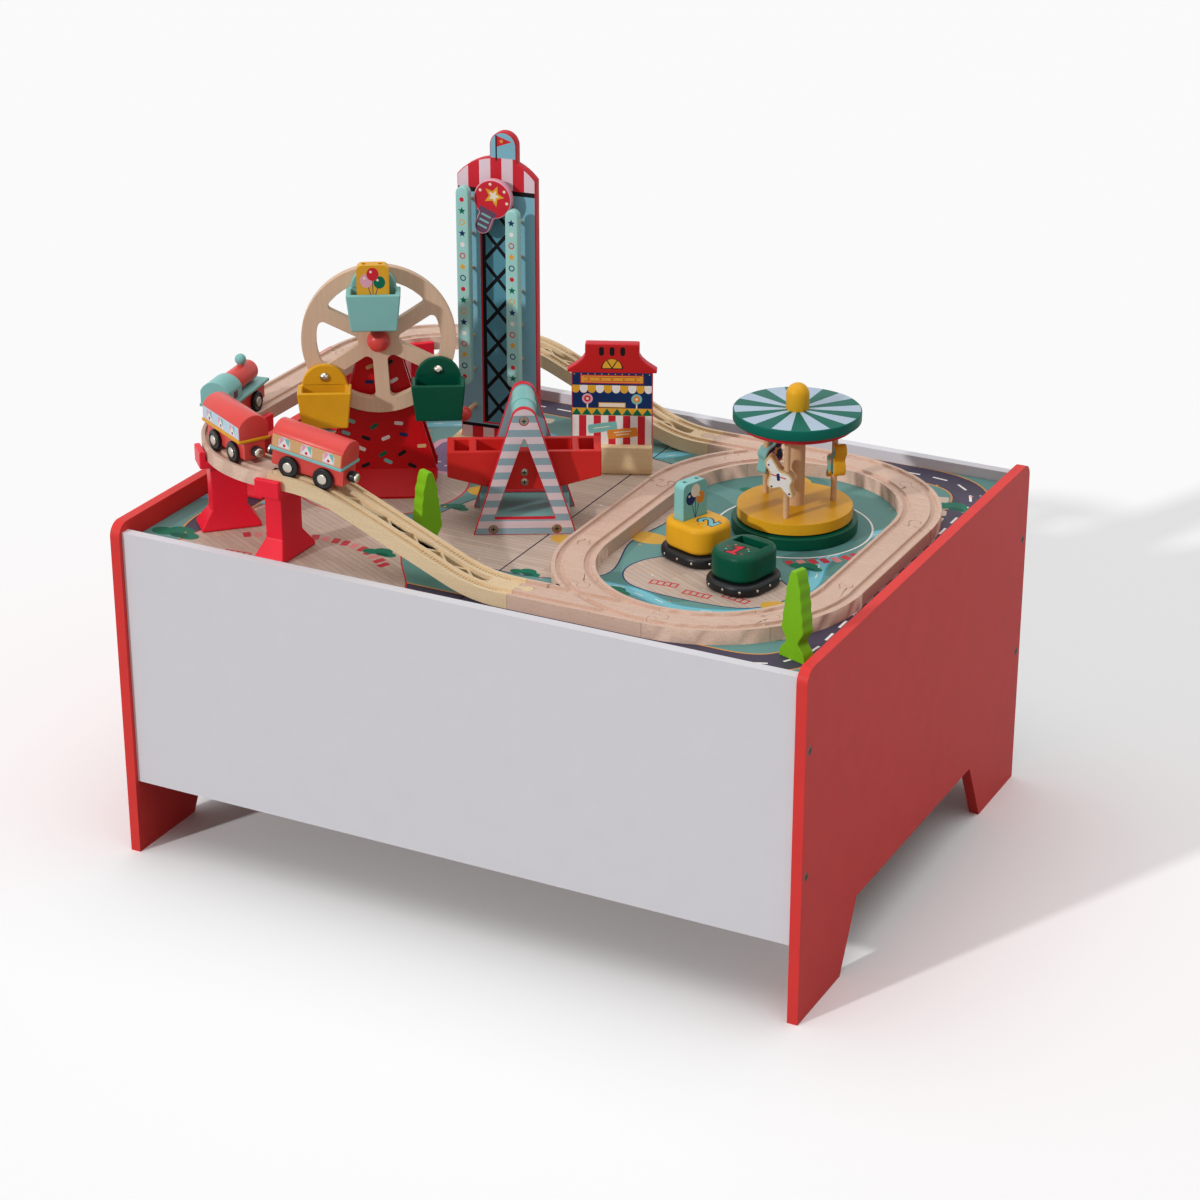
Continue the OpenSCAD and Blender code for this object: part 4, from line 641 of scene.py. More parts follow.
# Play board: one print runs over the two halves
board = {"halfL": 299.5, "halfD": 222.0, "seam": 0.25, "thick": 6.0, "edge": 0.4, "blots": 26, "dots": 90}
road = {
    "left": -264.0, "right": 284.0, "front": -211.0, "back": 206.0, "bend": 62.0, "width": 30.0, "kerb": 33.0
}
streams = (
    [(-310, 40), (-250, 66), (-215, 118), (-140, 148), (-60, 132), (10, 150), (50, 232)],
    [(-310, -118), (-236, -100), (-160, -104), (-100, -122), (-48, -92), (12, -104), (58, -126), (112, -128),
     (160, -142), (214, -120), (232, -60), (222, 0), (240, 70), (310, 96)],
)
plazas = (
    ("navy", "plank", [(-100, -92), (-40, -132), (30, -138), (78, -108), (66, -40), (74, 20), (60, 80),
                       (26, 128), (-44, 130), (-78, 88), (-62, 34), (-92, -20)]),
    ("red", "plankTurned", [(-246, -228), (-250, -150), (-232, -90), (-180, -66), (-130, -78), (-112, -120),
                            (-80, -160), (-56, -228)]),
    ("navy", "plankTurned", [(88, -88), (104, -116), (150, -124), (204, -118), (226, -86), (206, -56),
                             (150, -44), (104, -56)]),
)
roundPlaces = ((-180, -20, 73, "red", "plankTurned"), (172, 49, 64, "white", "groundDark"))
carpets = (("carpetPink", (-128, 62, 114, 80, 6.5, 10)), ("carpet", (-128, 62, 102, 68, 6.5, 8)))
stoneRows = (
    [(-224, -172), (-172, -150), (-122, -152), (-84, -176)], [(24, 128), (46, 92), (42, 44)],
    [(-118, 18), (-92, 44), (-80, 90)], [(196, -24), (238, 12), (250, 60)],
)
slabRows = (
    [(-92, -106), (-66, -130), (-34, -140), (4, -152)], [(256, 168), (270, 120), (262, 66)],
    [(-250, 150), (-190, 168), (-120, 176)],
)
benches = (
    (128, -104, 4), (160, -111, -2), (191, -105, -12), (-206, -206, 6), (-158, -209, 2), (-110, -211, -4)
)
bushes = (
    (-274, -192, 22), (-252, 98, 18), (-104, -152, 15), (98, -134, 15), (236, -156, 18), (112, 108, 15),
    (64, 190, 18), (-22, -156, 15), (272, 150, 18), (-98, -40, 13), (214, -22, 14), (-284, 36, 18),
    (-60, 172, 20), (70, -170, 14), (108, -4, 13), (20, -134, 13),
)
patches = (
    (76, -26, 17, 12), (-94, 2, 15, 11), (228, -104, 15, 10), (-238, 44, 16, 10), (128, 146, 16, 10),
    (18, -60, 14, 9), (-268, -130, 15, 9),
)
bushTufts = ((-0.5, -0.1, 0.5), (0.1, 0.2, 0.55), (0.6, -0.12, 0.45))
patchDots = ((-0.5, 0), (0, 0.4), (0.45, -0.1), (0, -0.45))
benchSlats = [(0, 3.4, 24, 1.5), (0, -3.4, 24, 1.5)] + [(-11 + 5.5 * k, 0, 1.6, 7) for k in range(5)]


def boardPrint():
    dice = random.Random(11)
    drawn = []

    def add(key, *outlines):
        drawn.extend((outline, key) for outline in outlines)

    def blob(cx, cy, rx, ry, wobble=0.16, count=9):
        turns = [(math.tau * i / count, 1 + wobble * dice.uniform(-1, 1)) for i in range(count)]
        return smoothLine([(cx + rx * k * math.cos(t), cy + ry * k * math.sin(t)) for t, k in turns], 5, True)

    for _ in range(board["blots"]):
        x, y = dice.uniform(-280, 280), dice.uniform(-200, 200)
        add("groundDark", blob(x, y, dice.uniform(18, 44), dice.uniform(12, 26)))
    for line in streams:
        path = smoothLine(line, 10)
        add("streamDeep", ribbon(path, 14))
        add("stream", ribbon(path, 11))
        for k, (x, y, turn) in enumerate(marks(path, 21)):
            add("white", bar(x, y + 2 * (-1) ** k, 9, 0.8, turn))
    left, right, front, back = road["left"], road["right"], road["front"], road["back"]
    corners = [(left, front), (right, front), (right, back), (left, back)]
    lap = roundCorners(corners, road["bend"], 12)
    lap = lap + [lap[0]]
    halves = (lap[:len(lap) // 2 + 1], lap[len(lap) // 2:])
    for key, width in (("kerb", road["kerb"]), ("road", road["width"])):
        add(key, *[ribbon(half, width) for half in halves])
    add("dash", *[bar(x, y, 14, 2.2, turn) for x, y, turn in marks(lap, 26)])
    for edge, floor, points in plazas:
        outline = counterClock(smoothLine(points, 8, True))
        add(edge, grown(outline, 1.3))
        add(floor, outline)
    for x, y, r, edge, floor in roundPlaces:
        add(edge, ring(x, y, r + 1.6, count=60))
        add(floor, ring(x, y, r, count=60))
    for key, sizes in carpets:
        add(key, bar(*sizes))
    add("cream", *[bar(-166 + 19 * k, 40 + 2.2 * k, 15, 2, 40) for k in range(5)])
    for row in slabRows:
        for x, y, turn in marks(smoothLine(row, 10), 15):
            add("cobble", bar(x, y, 12, dice.uniform(9, 13), turn + dice.uniform(-6, 6), 2.5))
    for row in stoneRows:
        for k, (x, y, turn) in enumerate(marks(smoothLine(row, 10), 9.5)):
            add(("stone", "stonePink", "ladder")[k % 3], bar(x, y, 6.4, 10.5, turn + 14, 1.6))
    for x, y, turn in benches:
        lean = Matrix.Rotation(math.radians(turn), 2)
        for dx, dy, w, h in benchSlats:
            at = Vector((x, y)) + lean @ Vector((dx, dy))
            add("ladder", bar(at.x, at.y, w, h, turn))
    for x, y, size in bushes:
        for dx, dy, r in bushTufts:
            add("bush", ring(x + dx * size, y + dy * size, r * size, 0.7 * r * size, 20))
        add("bushDark", ring(x + 0.25 * size, y - 0.2 * size, 0.4 * size, 0.2 * size, 16))
    for x, y, rx, ry in patches:
        add("patch", blob(x, y, rx, ry, 0.1))
        for dx, dy in patchDots:
            add("kerb", ring(x + rx * dx, y + ry * dy, 1.5, count=8))
    for i in range(board["dots"]):
        key = ("white", "kerb", "stonePink", "patch")[i % 4]
        add(key, ring(dice.uniform(-290, 290), dice.uniform(-215, 215), dice.uniform(0.8, 1.5), count=8))
    return drawn


def buildBoard():
    inks = inkSet(
        "ground", "tan", "groundDark", "stream", "streamDeep", "white", "kerb", "road", "dash", "navy", "red",
        "plank", "plankTurned", "carpet", "carpetPink", "cream", "cobble", "stone", "stonePink", "ladder",
        "bush", "bushDark", "patch",
    )
    drawn = boardPrint()
    for side, low, high in (
        ("left", -board["halfL"], -board["seam"]), ("right", board["seam"], board["halfL"])
    ):
        near = [d for d in drawn if max(p.x for p in d[0]) > low and min(p.x for p in d[0]) < high]
        deep = board["halfD"]
        outline = [(low, -deep), (high, -deep), (high, deep), (low, deep)]
        half = plateShape(outline, board["thick"], board["edge"], near, rim="road", back=1)
        node = "play_board_" + side
        addPiece("printed_" + side, [half], inks, shift(0, 0, boardTop), "table", [node])


buildBoard()
print("board printed")

# Drop tower: a printed panel on a block, two slotted rails in front of it and a piece that tumbles between
towerSpot = spot(-122.4, 82.0, boardTop, 6.5)
tower = {
    "half": 35.5, "foot": 4.0, "shoulder": 249.5, "crown": 17.0, "thick": 9.0, "tabX": 6.5, "tabR": 12.0,
    "top": 289.0, "bands": ((4.0, 24.5), (238.5, 268.0)), "latticeZ": 131.0, "latticeH": 206.0, "crosses": 7,
    "crossFrom": 30.0, "crossPitch": 29.0,
}
rail = {
    "x": 22.3, "w": 11.5, "thick": 8.0, "front": -22.0, "left": (69.0, 245.0), "right": (72.0, 229.0),
    "pegR": 1.5, "pegL": 14.5, "pegPitch": 30.5, "seat": 4.6, "spotPitch": 9.8, "spotTop": 11.0,
    "spotEnd": 5.0,
}
knob = {"z": 44.0, "reach": 25.0, "ballR": 6.5, "dowelR": 2.2}
tumbler = {
    "front": -13.7, "z": 229.0, "tilt": 22.0, "thick": 6.0, "r": 17.0, "up": 5.67, "tailW": 14.0,
    "tail": 27.0, "bulbsR": 13.2,
}


def buildTower():
    half, shoulder = tower["half"], tower["shoulder"]
    crownR = (half ** 2 + tower["crown"] ** 2) / (2 * tower["crown"])
    centre = shoulder + tower["crown"] - crownR

    def onCrown(*places):
        return [(x, centre + math.sqrt(crownR ** 2 - x * x)) for x in places]

    near, far = tower["tabX"] + tower["tabR"], tower["tabX"] - tower["tabR"]
    outline = [(-half, tower["foot"]), (half, tower["foot"])]
    outline += onCrown(half, 33, 30, 27, 23, near)
    outline += ring(tower["tabX"], tower["top"] - tower["tabR"], tower["tabR"], count=16, sweep=180)
    outline += onCrown(far, -10, -15, -20, -25, -30, -33, -half)
    inks = inkSet("towerBlue", "red", "towerDeep", "black", "stripeWhite", "yellow")
    step = 2 * half / 7
    drawn = []
    for low, high in tower["bands"]:
        middle = (low + high) / 2
        drawn.append((bar(0, middle, 2 * half + 4, high - low), "stripeWhite"))
        drawn += [(bar(step * k, middle, step, high - low - 0.3), "red") for k in (-2, 0, 2)]
    drawn.append((bar(tower["tabX"], 279.0, 26, 25), "towerBlue"))
    drawn += [(bar(0, z, 2 * half, t), "black") for z, t in ((237.0, 4.0), (25.5, 3.0))]
    z, h = tower["latticeZ"], tower["latticeH"]
    drawn += [(bar(0, z, w, h - d), key) for w, d, key in ((30.6, 0, "red"), (27.4, 3, "towerDeep"))]
    drawn += [(bar(s * 12.0, z, 3.4, h - 3), "black") for s in (-1, 1)]
    for k in range(tower["crosses"]):
        z = tower["crossFrom"] + tower["crossPitch"] * (k + 0.5)
        drawn += [(bar(0, z, 36, 3.2, s * 49), "black") for s in (-1, 1)]
    drawn += [(bar(0.5, 275, 1.3, 22), "black"), (flatPoints([(1.1, 285.5), (14.5, 281), (1.1, 276)]), "red")]
    drawn.append((star(5.2, 281, 2.1), "yellow"))
    panel = plateShape(outline, tower["thick"], 0.8, drawn)
    addPiece("tower_print", [panel], inks, towerSpot @ upright, "table", ["tower_panel"])

    inks = inkSet("railTeal", "teal", "green", "navy", "yellow", "red", "white") + [dowelBeech]
    spotR = {"ring": 2.7, "dot": 2.0}
    shapes = []
    cycle = (
        ("red", "dot"), ("green", "star"), ("yellow", "ring"), ("navy", "star"), ("white", "dot"),
        ("red", "ring"), ("yellow", "star"), ("navy", "ring"),
    )
    for s, (low, high) in ((-1, rail["left"]), (1, rail["right"])):
        x, drawn = s * rail["x"], []
        z, k = high - rail["spotTop"], 0 if s < 0 else 3
        while z > low + rail["spotEnd"]:
            key, kind = cycle[k % len(cycle)]
            outer = star(x, z, 3.4) if kind == "star" else ring(x, z, spotR[kind], count=16)
            drawn.append((outer, key))
            if kind == "ring":
                drawn.append((ring(x, z, 1.8, count=14), "railTeal"))
            z, k = z - rail["spotPitch"], k + 1
        strip = plateShape(capsule(x, low, high, rail["w"]), rail["thick"], 1.1, drawn, rim=0)
        shapes.append(moved(strip, shift(0, rail["front"], 0) @ upright))
        peg = latheShape(rodProfile(rail["pegR"], -rail["seat"], rail["pegL"]), inks.index(dowelBeech), 16)
        z = high - rail["pegPitch"] / 2
        while z >= low + rail["w"] / 2:
            shapes.append(moved(peg, shift(x, 0, z) @ upright))
            z -= rail["pegPitch"]
    addPiece("tower_strips", shapes, inks, towerSpot, "table", ["tower_rails"])

    ball = latheShape(ballProfile(knob["ballR"], 16), 0, 32)
    dowel = latheShape(rodProfile(knob["dowelR"], -rail["seat"], knob["reach"]), 1, 20)
    shapes = []
    for s in (-1, 1):
        shapes.append(moved(ball, shift(s * rail["x"], -knob["reach"], knob["z"])))
        shapes.append(moved(dowel, shift(s * rail["x"], 0, knob["z"]) @ upright))
    addPiece("tower_balls", shapes, [trainRed, dowelBeech], towerSpot, "table", ["tower_knobs"])

    inks = inkSet("red", "pink", "plum", "yellow", "cream", "teal")
    r, tailR = tumbler["r"], tumbler["tailW"] / 2
    mouth = math.degrees(math.acos(tailR / r))
    outline = ring(0, tumbler["up"], r, count=30, start=-mouth, sweep=180 + 2 * mouth)
    outline += ring(0, tailR - tumbler["tail"], tailR, count=12, start=180, sweep=180)
    drawn = [(bar(0, -16, 16, 24), "plum"), (star(0, 9, 9.5), "yellow"), (star(0, 9, 5.2), "cream")]
    drawn += [(bar(0, z, 9, 1.8), "teal") for z in (-10, -15, -20)]
    reach = tumbler["bulbsR"]
    drawn += [
        (ring(reach * math.cos(t), tumbler["up"] + reach * math.sin(t), 1.3, count=10), "cream")
        for t in (0.2, 1.0, 2.1, 2.94)
    ]
    disc = plateShape(outline, tumbler["thick"], 0.9, drawn)
    at = towerSpot @ shift(0, tumbler["front"], tumbler["z"]) @ spin(tumbler["tilt"], "Y") @ upright
    addPiece("tumbler_print", [disc], inks, at, "tumbler", ["tower_tumbler"])


buildTower()
print("tower built")

# Swing ship: two striped frames, and painted shade in the cross slots of the screws
shipSpot = spot(-32.9, -37.5, boardTop, 29.0)
frameA = {
    "w": 84.0, "h": 110.0, "topR": 10.5, "face": 33.0, "thick": 6.0, "bar": 14.0, "windowW": 50.0,
    "windowTop": 85.0, "stripes": 18,
}
frameScrews = ((0.0, 99.0), (-26.0, 5.0), (26.0, 5.0))
screwHole = 3.7
hullScrews = {"face": 18.0, "r": 3.3, "z": (49.0, 40.5)}
crossSlot = {"l": 3.6, "w": 0.9, "sink": 0.12}
panelScrews = {"x": 309.0, "y": 227.0, "z": (126.0, 232.0), "r": 3.4}


# A screw's cross slot as a thin flat sheet, to carry the painted shade of the slot
def crossShape():
    a, b = crossSlot["l"] / 2, crossSlot["w"] / 2
    points = [
        (a, -b), (a, b), (b, b), (b, a), (-b, a), (-b, b), (-a, b), (-a, -b), (-b, -b), (-b, -a), (b, -a),
        (b, -b),
    ]
    return plateShape(points, 0.4, 0.0, rim=0)


def buildShip():
    topZ = frameA["h"] - frameA["topR"]
    reach = math.hypot(frameA["w"] / 2, topZ)
    side = math.degrees(math.atan2(topZ, frameA["w"] / 2) - math.asin(frameA["topR"] / reach))
    outline = [(-frameA["w"] / 2, 0), (frameA["w"] / 2, 0)]
    outline += ring(0, topZ, frameA["topR"], count=18, start=90 - side, sweep=2 * side)
    inset, sill = frameA["windowW"] / 2, frameA["bar"]
    window = roundCorners([(-inset, sill), (inset, sill), (0, frameA["windowTop"])], 1.2, 3)
    holes = [window] + [ring(x, z, screwHole, count=20) for x, z in frameScrews]
    inks = inkSet("frameGrey", "red", "framePink")
    step = frameA["h"] / frameA["stripes"]
    stripes = range(1, frameA["stripes"], 2)
    drawn = [(bar(0, step * (k + 0.5), frameA["w"] + 4, step), "framePink") for k in stripes]
    plate = plateShape(outline, frameA["thick"], 0.7, drawn, holes, back=0)
    front = shift(0, -frameA["face"], 0) @ upright
    plates = [moved(plate, turn @ front) for turn in bothWays]
    addPiece("ship_stripes", plates, inks, shipSpot, "table", ["ship_frames"])

    # Painted shade in the cross slots of the frame screws
    cross = crossShape()
    marked = [moved(cross, turn @ shift(x, -frameA["face"] - crossSlot["sink"], z) @ upright)
              for turn in bothWays for x, z in frameScrews]
    addPiece("frame_screw_slot_shade", marked, [slotShade], shipSpot, "table")
    r = hullScrews["r"]
    head = latheShape([(0, -1.0), (r, -1.0), (r, 0.15), (r - 0.5, 0.55), (0, 0.75)], 0, 24)
    shapes = []
    for turn in bothWays:
        for z in hullScrews["z"]:
            at = turn @ shift(0, -hullScrews["face"], z) @ upright
            # Each zinc head gets a sheet of painted shade in its cross slot
            shapes += [moved(head, at), moved(cross, at @ shift(0, 0, 0.85), 1)]
    addPiece("hull_screws", shapes, [zinc, slotShade], shipSpot, "swing")


def buildPanelScrews():
    cross = crossShape()
    face = [(ring(0, 0, 3.6, count=24), 1)]
    cap = plateShape(ring(0, 0, panelScrews["r"], count=24), 0.3, 0.1, face, rim=1, back=1)
    shapes = []
    for turn in bothWays:
        for y in (-panelScrews["y"], panelScrews["y"]):
            for z in panelScrews["z"]:
                at = turn @ shift(panelScrews["x"] + 0.1, y, z) @ sideways
                # Each dark zinc cap gets a sheet of painted shade in its cross slot
                shapes += [moved(cap, at), moved(cross, at @ shift(0, 0, 0.05))]
    addPiece("panel_screw_heads", shapes, [slotShade, darkZinc], inPlace, "table")


buildShip()
buildPanelScrews()
print("ship and screws built")

# Ticket booth: a printed board with a stepped roof
boothSpot = spot(-16.9, 90.0, boardTop, 24.0)
booth = {
    "half": 34.5, "foot": 13.0, "eaves": 93.0, "lip": 90.5, "eavesHalf": 38.0, "blockHalf": 23.0,
    "blockZ": 106.0, "top": 116.0, "thick": 10.0, "signZ": 84.6, "awningZ": 77.4, "sweetZ": 67.0,
    "counterZ": 61.5, "skirtZ": 31.0, "archZ": 94.6,
}


def buildBooth():
    right = [
        (booth["half"], booth["foot"]), (booth["half"], booth["lip"]), (booth["eavesHalf"], booth["lip"]),
        (booth["eavesHalf"], booth["eaves"]), (30.0, 98.2), (25.5, 102.2),
        (booth["blockHalf"], booth["blockZ"]), (booth["blockHalf"], booth["top"]),
    ]
    outline = roundCorners(
        right + [(-x, z) for x, z in reversed(right)], [0, 0, 1, 1, 0, 0, 0, 1.2, 1.2, 0, 0, 0, 1, 1, 0, 0], 3
    )
    inks = inkSet(
        "boothRed", "red", "boothNavy", "signGold", "yellow", "white", "green", "black", "teal", "orange",
        "pink", "cream",
    )
    wide = 2 * booth["half"] + 2
    drawn = [
        (bar(0, 74.5, wide, 32), "boothNavy"), (bar(0, booth["signZ"], 54, 7.6), "red"),
        (bar(0, booth["signZ"], 52.4, 6), "signGold"),
    ]
    drawn += [(bar(0, z, 48, 0.7), "red") for z in (86.4, 82.8)]
    drawn += [(star(x, booth["signZ"], 1.3), "red") for x in (-20, -10, 0, 10, 20)]
    drawn += [(ring(-32 + 5.8 * k, 89.1, 0.55, count=8), "yellow") for k in range(12)]
    drawn.append((bar(0, booth["awningZ"], wide, 3.6), "yellow"))
    for k in range(10):
        x = -31.05 + 6.9 * k
        key = "white" if k % 2 else "yellow"
        drawn.append((ring(x, 75.7, 3.4, 3.6, 20), key))
        if k % 2:
            drawn.append((bar(x, booth["awningZ"], 6.8, 3.4), key))
    for x, key, core in ((-21, "pink", "red"), (21, "teal", "orange")):
        drawn.append((bar(x, 61.4, 1.2, 6), "cream"))
        for r, count, shade in ((4.6, 24, key), (2.9, 20, core), (1.2, 12, "cream")):
            drawn.append((ring(x, booth["sweetZ"], r, count=count), shade))
    for w, h, key in ((23, 4.4, "signGold"), (21.6, 3.2, "cream")):
        drawn.append((bar(0, booth["counterZ"], w, h), key))
    drawn.append((bar(0, 55.3, wide, 6.6), "yellow"))
    drawn += [
        (flatPoints([(-34.5 + 8.63 * k, 52.2), (-25.87 + 8.63 * k, 52.2), (-30.2 + 8.63 * k, 58.2)]), "green")
        for k in range(8)
    ]
    stripe, z = 2 * booth["half"] / 11, booth["skirtZ"]
    drawn.append((bar(0, z, wide, 42), "white"))
    drawn += [(bar(-booth["half"] + stripe * (k + 0.5), z, stripe, 41.8), "red") for k in range(1, 11, 2)]
    drawn += [(bar(-8, 41, 25, 8, 9, 1.6), "teal"), (bar(9, 36, 26, 8.4, 7, 1.6), "orange")]
    drawn += [
        (bar(x, z, w, 0.8, t), "cream")
        for x, z, w, t in ((-9, 41, 14, 9), (9, 37.3, 15, 7), (9, 34.8, 11, 7))
    ]
    drawn += [(capsule(x, 105.6, 113.6, 4.2), "black") for x in (-9, 0, 9)]
    for z, r, key in ((93.8, 9.4, "black"), (booth["archZ"], 8.2, "yellow")):
        drawn.append((ring(0, z, r, count=20, sweep=180), key))
    for turn in (58, 122):
        at = polar(0, booth["archZ"], 4.2, 4.2, turn)
        drawn.append((bar(at.x, at.y, 8.4, 0.9, turn), "black"))
    panel = plateShape(outline, booth["thick"], 0.7, drawn)
    addPiece("booth_print", [panel], inks, boothSpot @ upright, "table", ["booth_panel"])


buildBooth()
print("booth built")

# Carousel
carouselSpot = spot(172.3, 49.2, boardTop)
canopy = {"r": 52.4, "z": 104.0, "thick": 9.0, "wedges": 20, "discR": 47.0, "discZ": 90.0, "discTop": 95.4}
column = {"r": 7.5, "z": 21.45, "top": 98.0, "finialR": 9.5, "finialH": 22.0}
ponies = {"poleR": 33.0, "phase": -79.0, "z": 57.5, "thick": 10.0, "l": 24.0, "margin": -1.5}
# Outline of the leaping pony in shares of its length, the pole at the origin
ponyShares = [
    (-0.62, 0.70), (-0.72, 0.54), (-0.72, 0.39), (-0.62, 0.24), (-0.54, 0.09), (-0.60, -0.04), (-0.64, -0.26),
    (-0.57, -0.41), (-0.40, -0.44), (-0.20, -0.39), (-0.07, -0.52), (0.17, -0.71), (0.28, -0.65),
    (0.20, -0.34), (0.20, -0.22), (0.26, -0.06), (0.16, 0.11), (0.02, 0.20), (-0.19, 0.28), (-0.35, 0.52),
    (-0.48, 0.70),
]
ponySpots = ((-14.2, 10.2, 0.8), (-11.4, -8.0, 0.9), (3.4, -13.2, 0.9))


def buildCarousel():
    inks = inkSet("canopyWhite", "canopyGreen", "red")
    step = 360 / canopy["wedges"]
    drawn = [
        ([Vector((0, 0))] + ring(0, 0, canopy["r"] + 2, count=2, start=step * k, sweep=step), "canopyGreen")
        for k in range(0, canopy["wedges"], 2)
    ]
    roof = plateShape(ring(0, 0, canopy["r"], count=96), canopy["thick"], 1.0, drawn, back=1)
    r, low, high = canopy["discR"], canopy["discZ"], canopy["discTop"]
    disc = [(0, low), (r - 1, low), (r, low + 1.2), (r, high), (0, high)]
    shapes = [moved(roof, shift(0, 0, canopy["z"])), latheShape(softProfile(disc, 0.8), 2, 72)]
    addPiece("canopy_print", shapes, inks, carouselSpot, "carousel", ["carousel_canopy"])

    post = softProfile(rodProfile(column["r"], column["z"], column["top"]), 0.3)
    r, z, top = column["finialR"], canopy["z"], canopy["z"] + column["finialH"]
    bends = [math.pi / 2 * k / 10 for k in range(10)]
    dome = [(r * math.cos(b), top - r + r * math.sin(b)) for b in bends]
    finial = [(0, z - 0.5), (r - 0.6, z - 0.5), (r, z + 0.6)] + dome + [(0, top)]
    shapes, finishes = [latheShape(post, 0, 36), latheShape(finial, 1, 48)], [dowelBeech, yellowPaint]
    addPiece("carousel_post", shapes, finishes, carouselSpot, "carousel", ["carousel_column"])

    inks = inkSet("white", "teal", "yellow", "red", "navy", "tan", "pink")
    inks += [horsePly, tealPaint, yellowPaint]
    corners = counterClock([Vector(p) * ponies["l"] for p in ponyShares])
    outline = smoothLine(corners, 4, True)
    body = smoothLine(grown(corners, ponies["margin"]), 4, True)
    ply, tealEdge, yellowEdge = (inks.index(finish) for finish in (horsePly, tealPaint, yellowPaint))
    looks = (
        ("white", "navy", "red", ply), ("teal", "yellow", "red", yellowEdge),
        ("navy", "yellow", "pink", tealEdge),
    )
    shapes = []
    for k, (coat, saddle, strap, rim) in enumerate(looks):
        drawn = [(bar(-5, 0, 60, 60), ply), (body, coat)]
        drawn += [(bar(-5.6, 0.9, 12.4, 1.0, -13), strap), (bar(-6.0, 0.4, 2.6, 6.2, 8, 0.8), saddle)]
        dotted = "red" if coat == "navy" else "navy"
        drawn += [(ring(x, y, r, count=10), dotted) for x, y, r in ponySpots]
        plate = plateShape(outline, ponies["thick"], 0.9, drawn, rim=rim)
        pole = spin(ponies["phase"] + 120 * k) @ shift(ponies["poleR"], 0, ponies["z"]) @ spin(90)
        shapes.append(moved(plate, pole @ shift(0, -ponies["thick"] / 2, 0) @ upright))
    addPiece("pony_prints", shapes, inks, carouselSpot, "carousel", ["carousel_animals"])


buildCarousel()
print("carousel built")

# Bumper cars
car = {
    "l": 50.0, "w": 42.0, "corner": 16.0, "low": 10.0, "top": 33.0, "edge": 4.6, "slotX": -9.0, "slotL": 11.7,
    "slotW": 27.7,
}
bumper = {"out": 4.0, "z": 5.2, "h": 10.0, "round": 3.9, "studR": 1.1, "studs": 12}
carSpots = {"yellow": spot(128, -42, boardTop, -20), "green": spot(184, -76, boardTop, -103)}
carDigit = {"grow": 1.5, "x": 11.0, "y": 1.0}
digitOne = [
    (-3.2, -5.5), (3.2, -5.5), (3.2, -3.6), (1.3, -3.6), (1.3, 5.5), (-0.8, 5.5), (-3.2, 3.8), (-3.2, 1.8),
    (-1.2, 2.8), (-1.2, -3.6), (-3.2, -3.6),
]
digitTwo = [(-3.0, 2.6), (-1.8, 4.9), (0.6, 5.2), (2.8, 3.4), (2.0, 0.6), (-2.8, -4.2)]


def boxOutline(l, w, r, steps=10):
    x, y = l / 2 - r, w / 2 - r
    corners = ((x, -y, -90), (x, y, 0), (-x, y, 90), (-x, -y, 180))
    return [p for cx, cy, start in corners for p in ring(cx, cy, r, count=steps, start=start, sweep=90)]


def carPrint(digit, core, edge):
    drawn = []

    def ahead(points, key):
        # Turns the digit to read from the front of the car
        grow, x, y = carDigit["grow"], carDigit["x"], carDigit["y"]
        drawn.append(([Vector((x - grow * p.y, y + grow * p.x)) for p in flatPoints(points)], key))

    if digit == 1:
        ahead(grown(flatPoints(digitOne), 0.8), edge)
        ahead(digitOne, core)
    else:
        path = smoothLine(digitTwo, 8)
        for w, key in ((3.9, edge), (2.2, core)):
            ahead(ribbon(path, w), key)
            ahead(bar(0, -4.6, 6.4 + w - 2.2, w), key)
    spots = (
        (9, -9, "red"), (14, -7, "teal"), (7, 10, "teal"), (15, 9, "red"), (3, -6, "orange"), (4, 7, "orange")
    )
    drawn += [(ring(x, y, 0.9, count=8), key) for x, y, key in spots]
    return drawn


def buildCars():
    outline = boxOutline(car["l"], car["w"], car["corner"])
    slot = [bar(car["slotX"], 0, car["slotL"], car["slotW"])]
    out = bumper["out"]
    ringLine = boxOutline(car["l"] + 2 * out, car["w"] + 2 * out, car["corner"] + out)
    lap = sum((b - a).length for a, b in zip(ringLine, ringLine[1:] + ringLine[:1]))
    r = bumper["studR"]
    stud = latheShape([(0, -1.0), (r, -1.0), (r, 0.15), (0.8, 0.5), (0, 0.6)], 0, 14)
    for name, digit, paint, looks in (
        ("yellow", 2, yellowPaint, ("teal", "navy")),
        ("green", 1, greenPaint, ("red", "black")),
    ):
        at = carSpots[name]
        inks = inkSet("teal", "navy", "red", "black", "orange")
        drawn = carPrint(digit, *looks)
        body = plateShape(
            outline, car["top"] - car["low"], car["edge"], drawn, slot, rim=0, back=0, steps=6, holeBevel=0.5
        )
        addPiece(
            name + "_car_shell", [body], [paint] + inks, at @ shift(0, 0, car["top"]), name + "_car",
            [name + "_car_body"],
        )
        tyre = plateShape(ringLine, bumper["h"], bumper["round"], rim=0, steps=6)
        addPiece(
            name + "_car_tyre", [tyre], [bumperRubber], at @ shift(0, 0, bumper["h"]), name + "_car",
            [name + "_car_bumper"],
        )
        studs = [moved(stud, shift(x, y, bumper["z"]) @ spin(turn - 90) @ spin(90, "Y"))
                 for x, y, turn in marks(ringLine + ringLine[:1], lap / bumper["studs"])]
        addPiece(name + "_car_studs", studs, [nickel], at, name + "_car")


buildCars()
print("cars built")

# Riders: a print on each face of the plain blocks
ferrisYaw = 30.0
ferrisSpot = spot(-179.5, -19.6, boardTop, ferrisYaw)
gondolaPin = (-170.27, -41.29, 473.43)  # the top gondola hangs from it
riderBlock = {
    "w": 26.5, "h": 51.0, "thick": 10.5, "inset": 1.6, "inGondola": (0.0, -14.45, -34.7), "carSeat": 12.3,
    "balloons": ((-5.2, 36.5, 5.2), (5.4, 35.0, 4.8), (0.0, 42.0, 5.0)), "knot": 18.0,
}


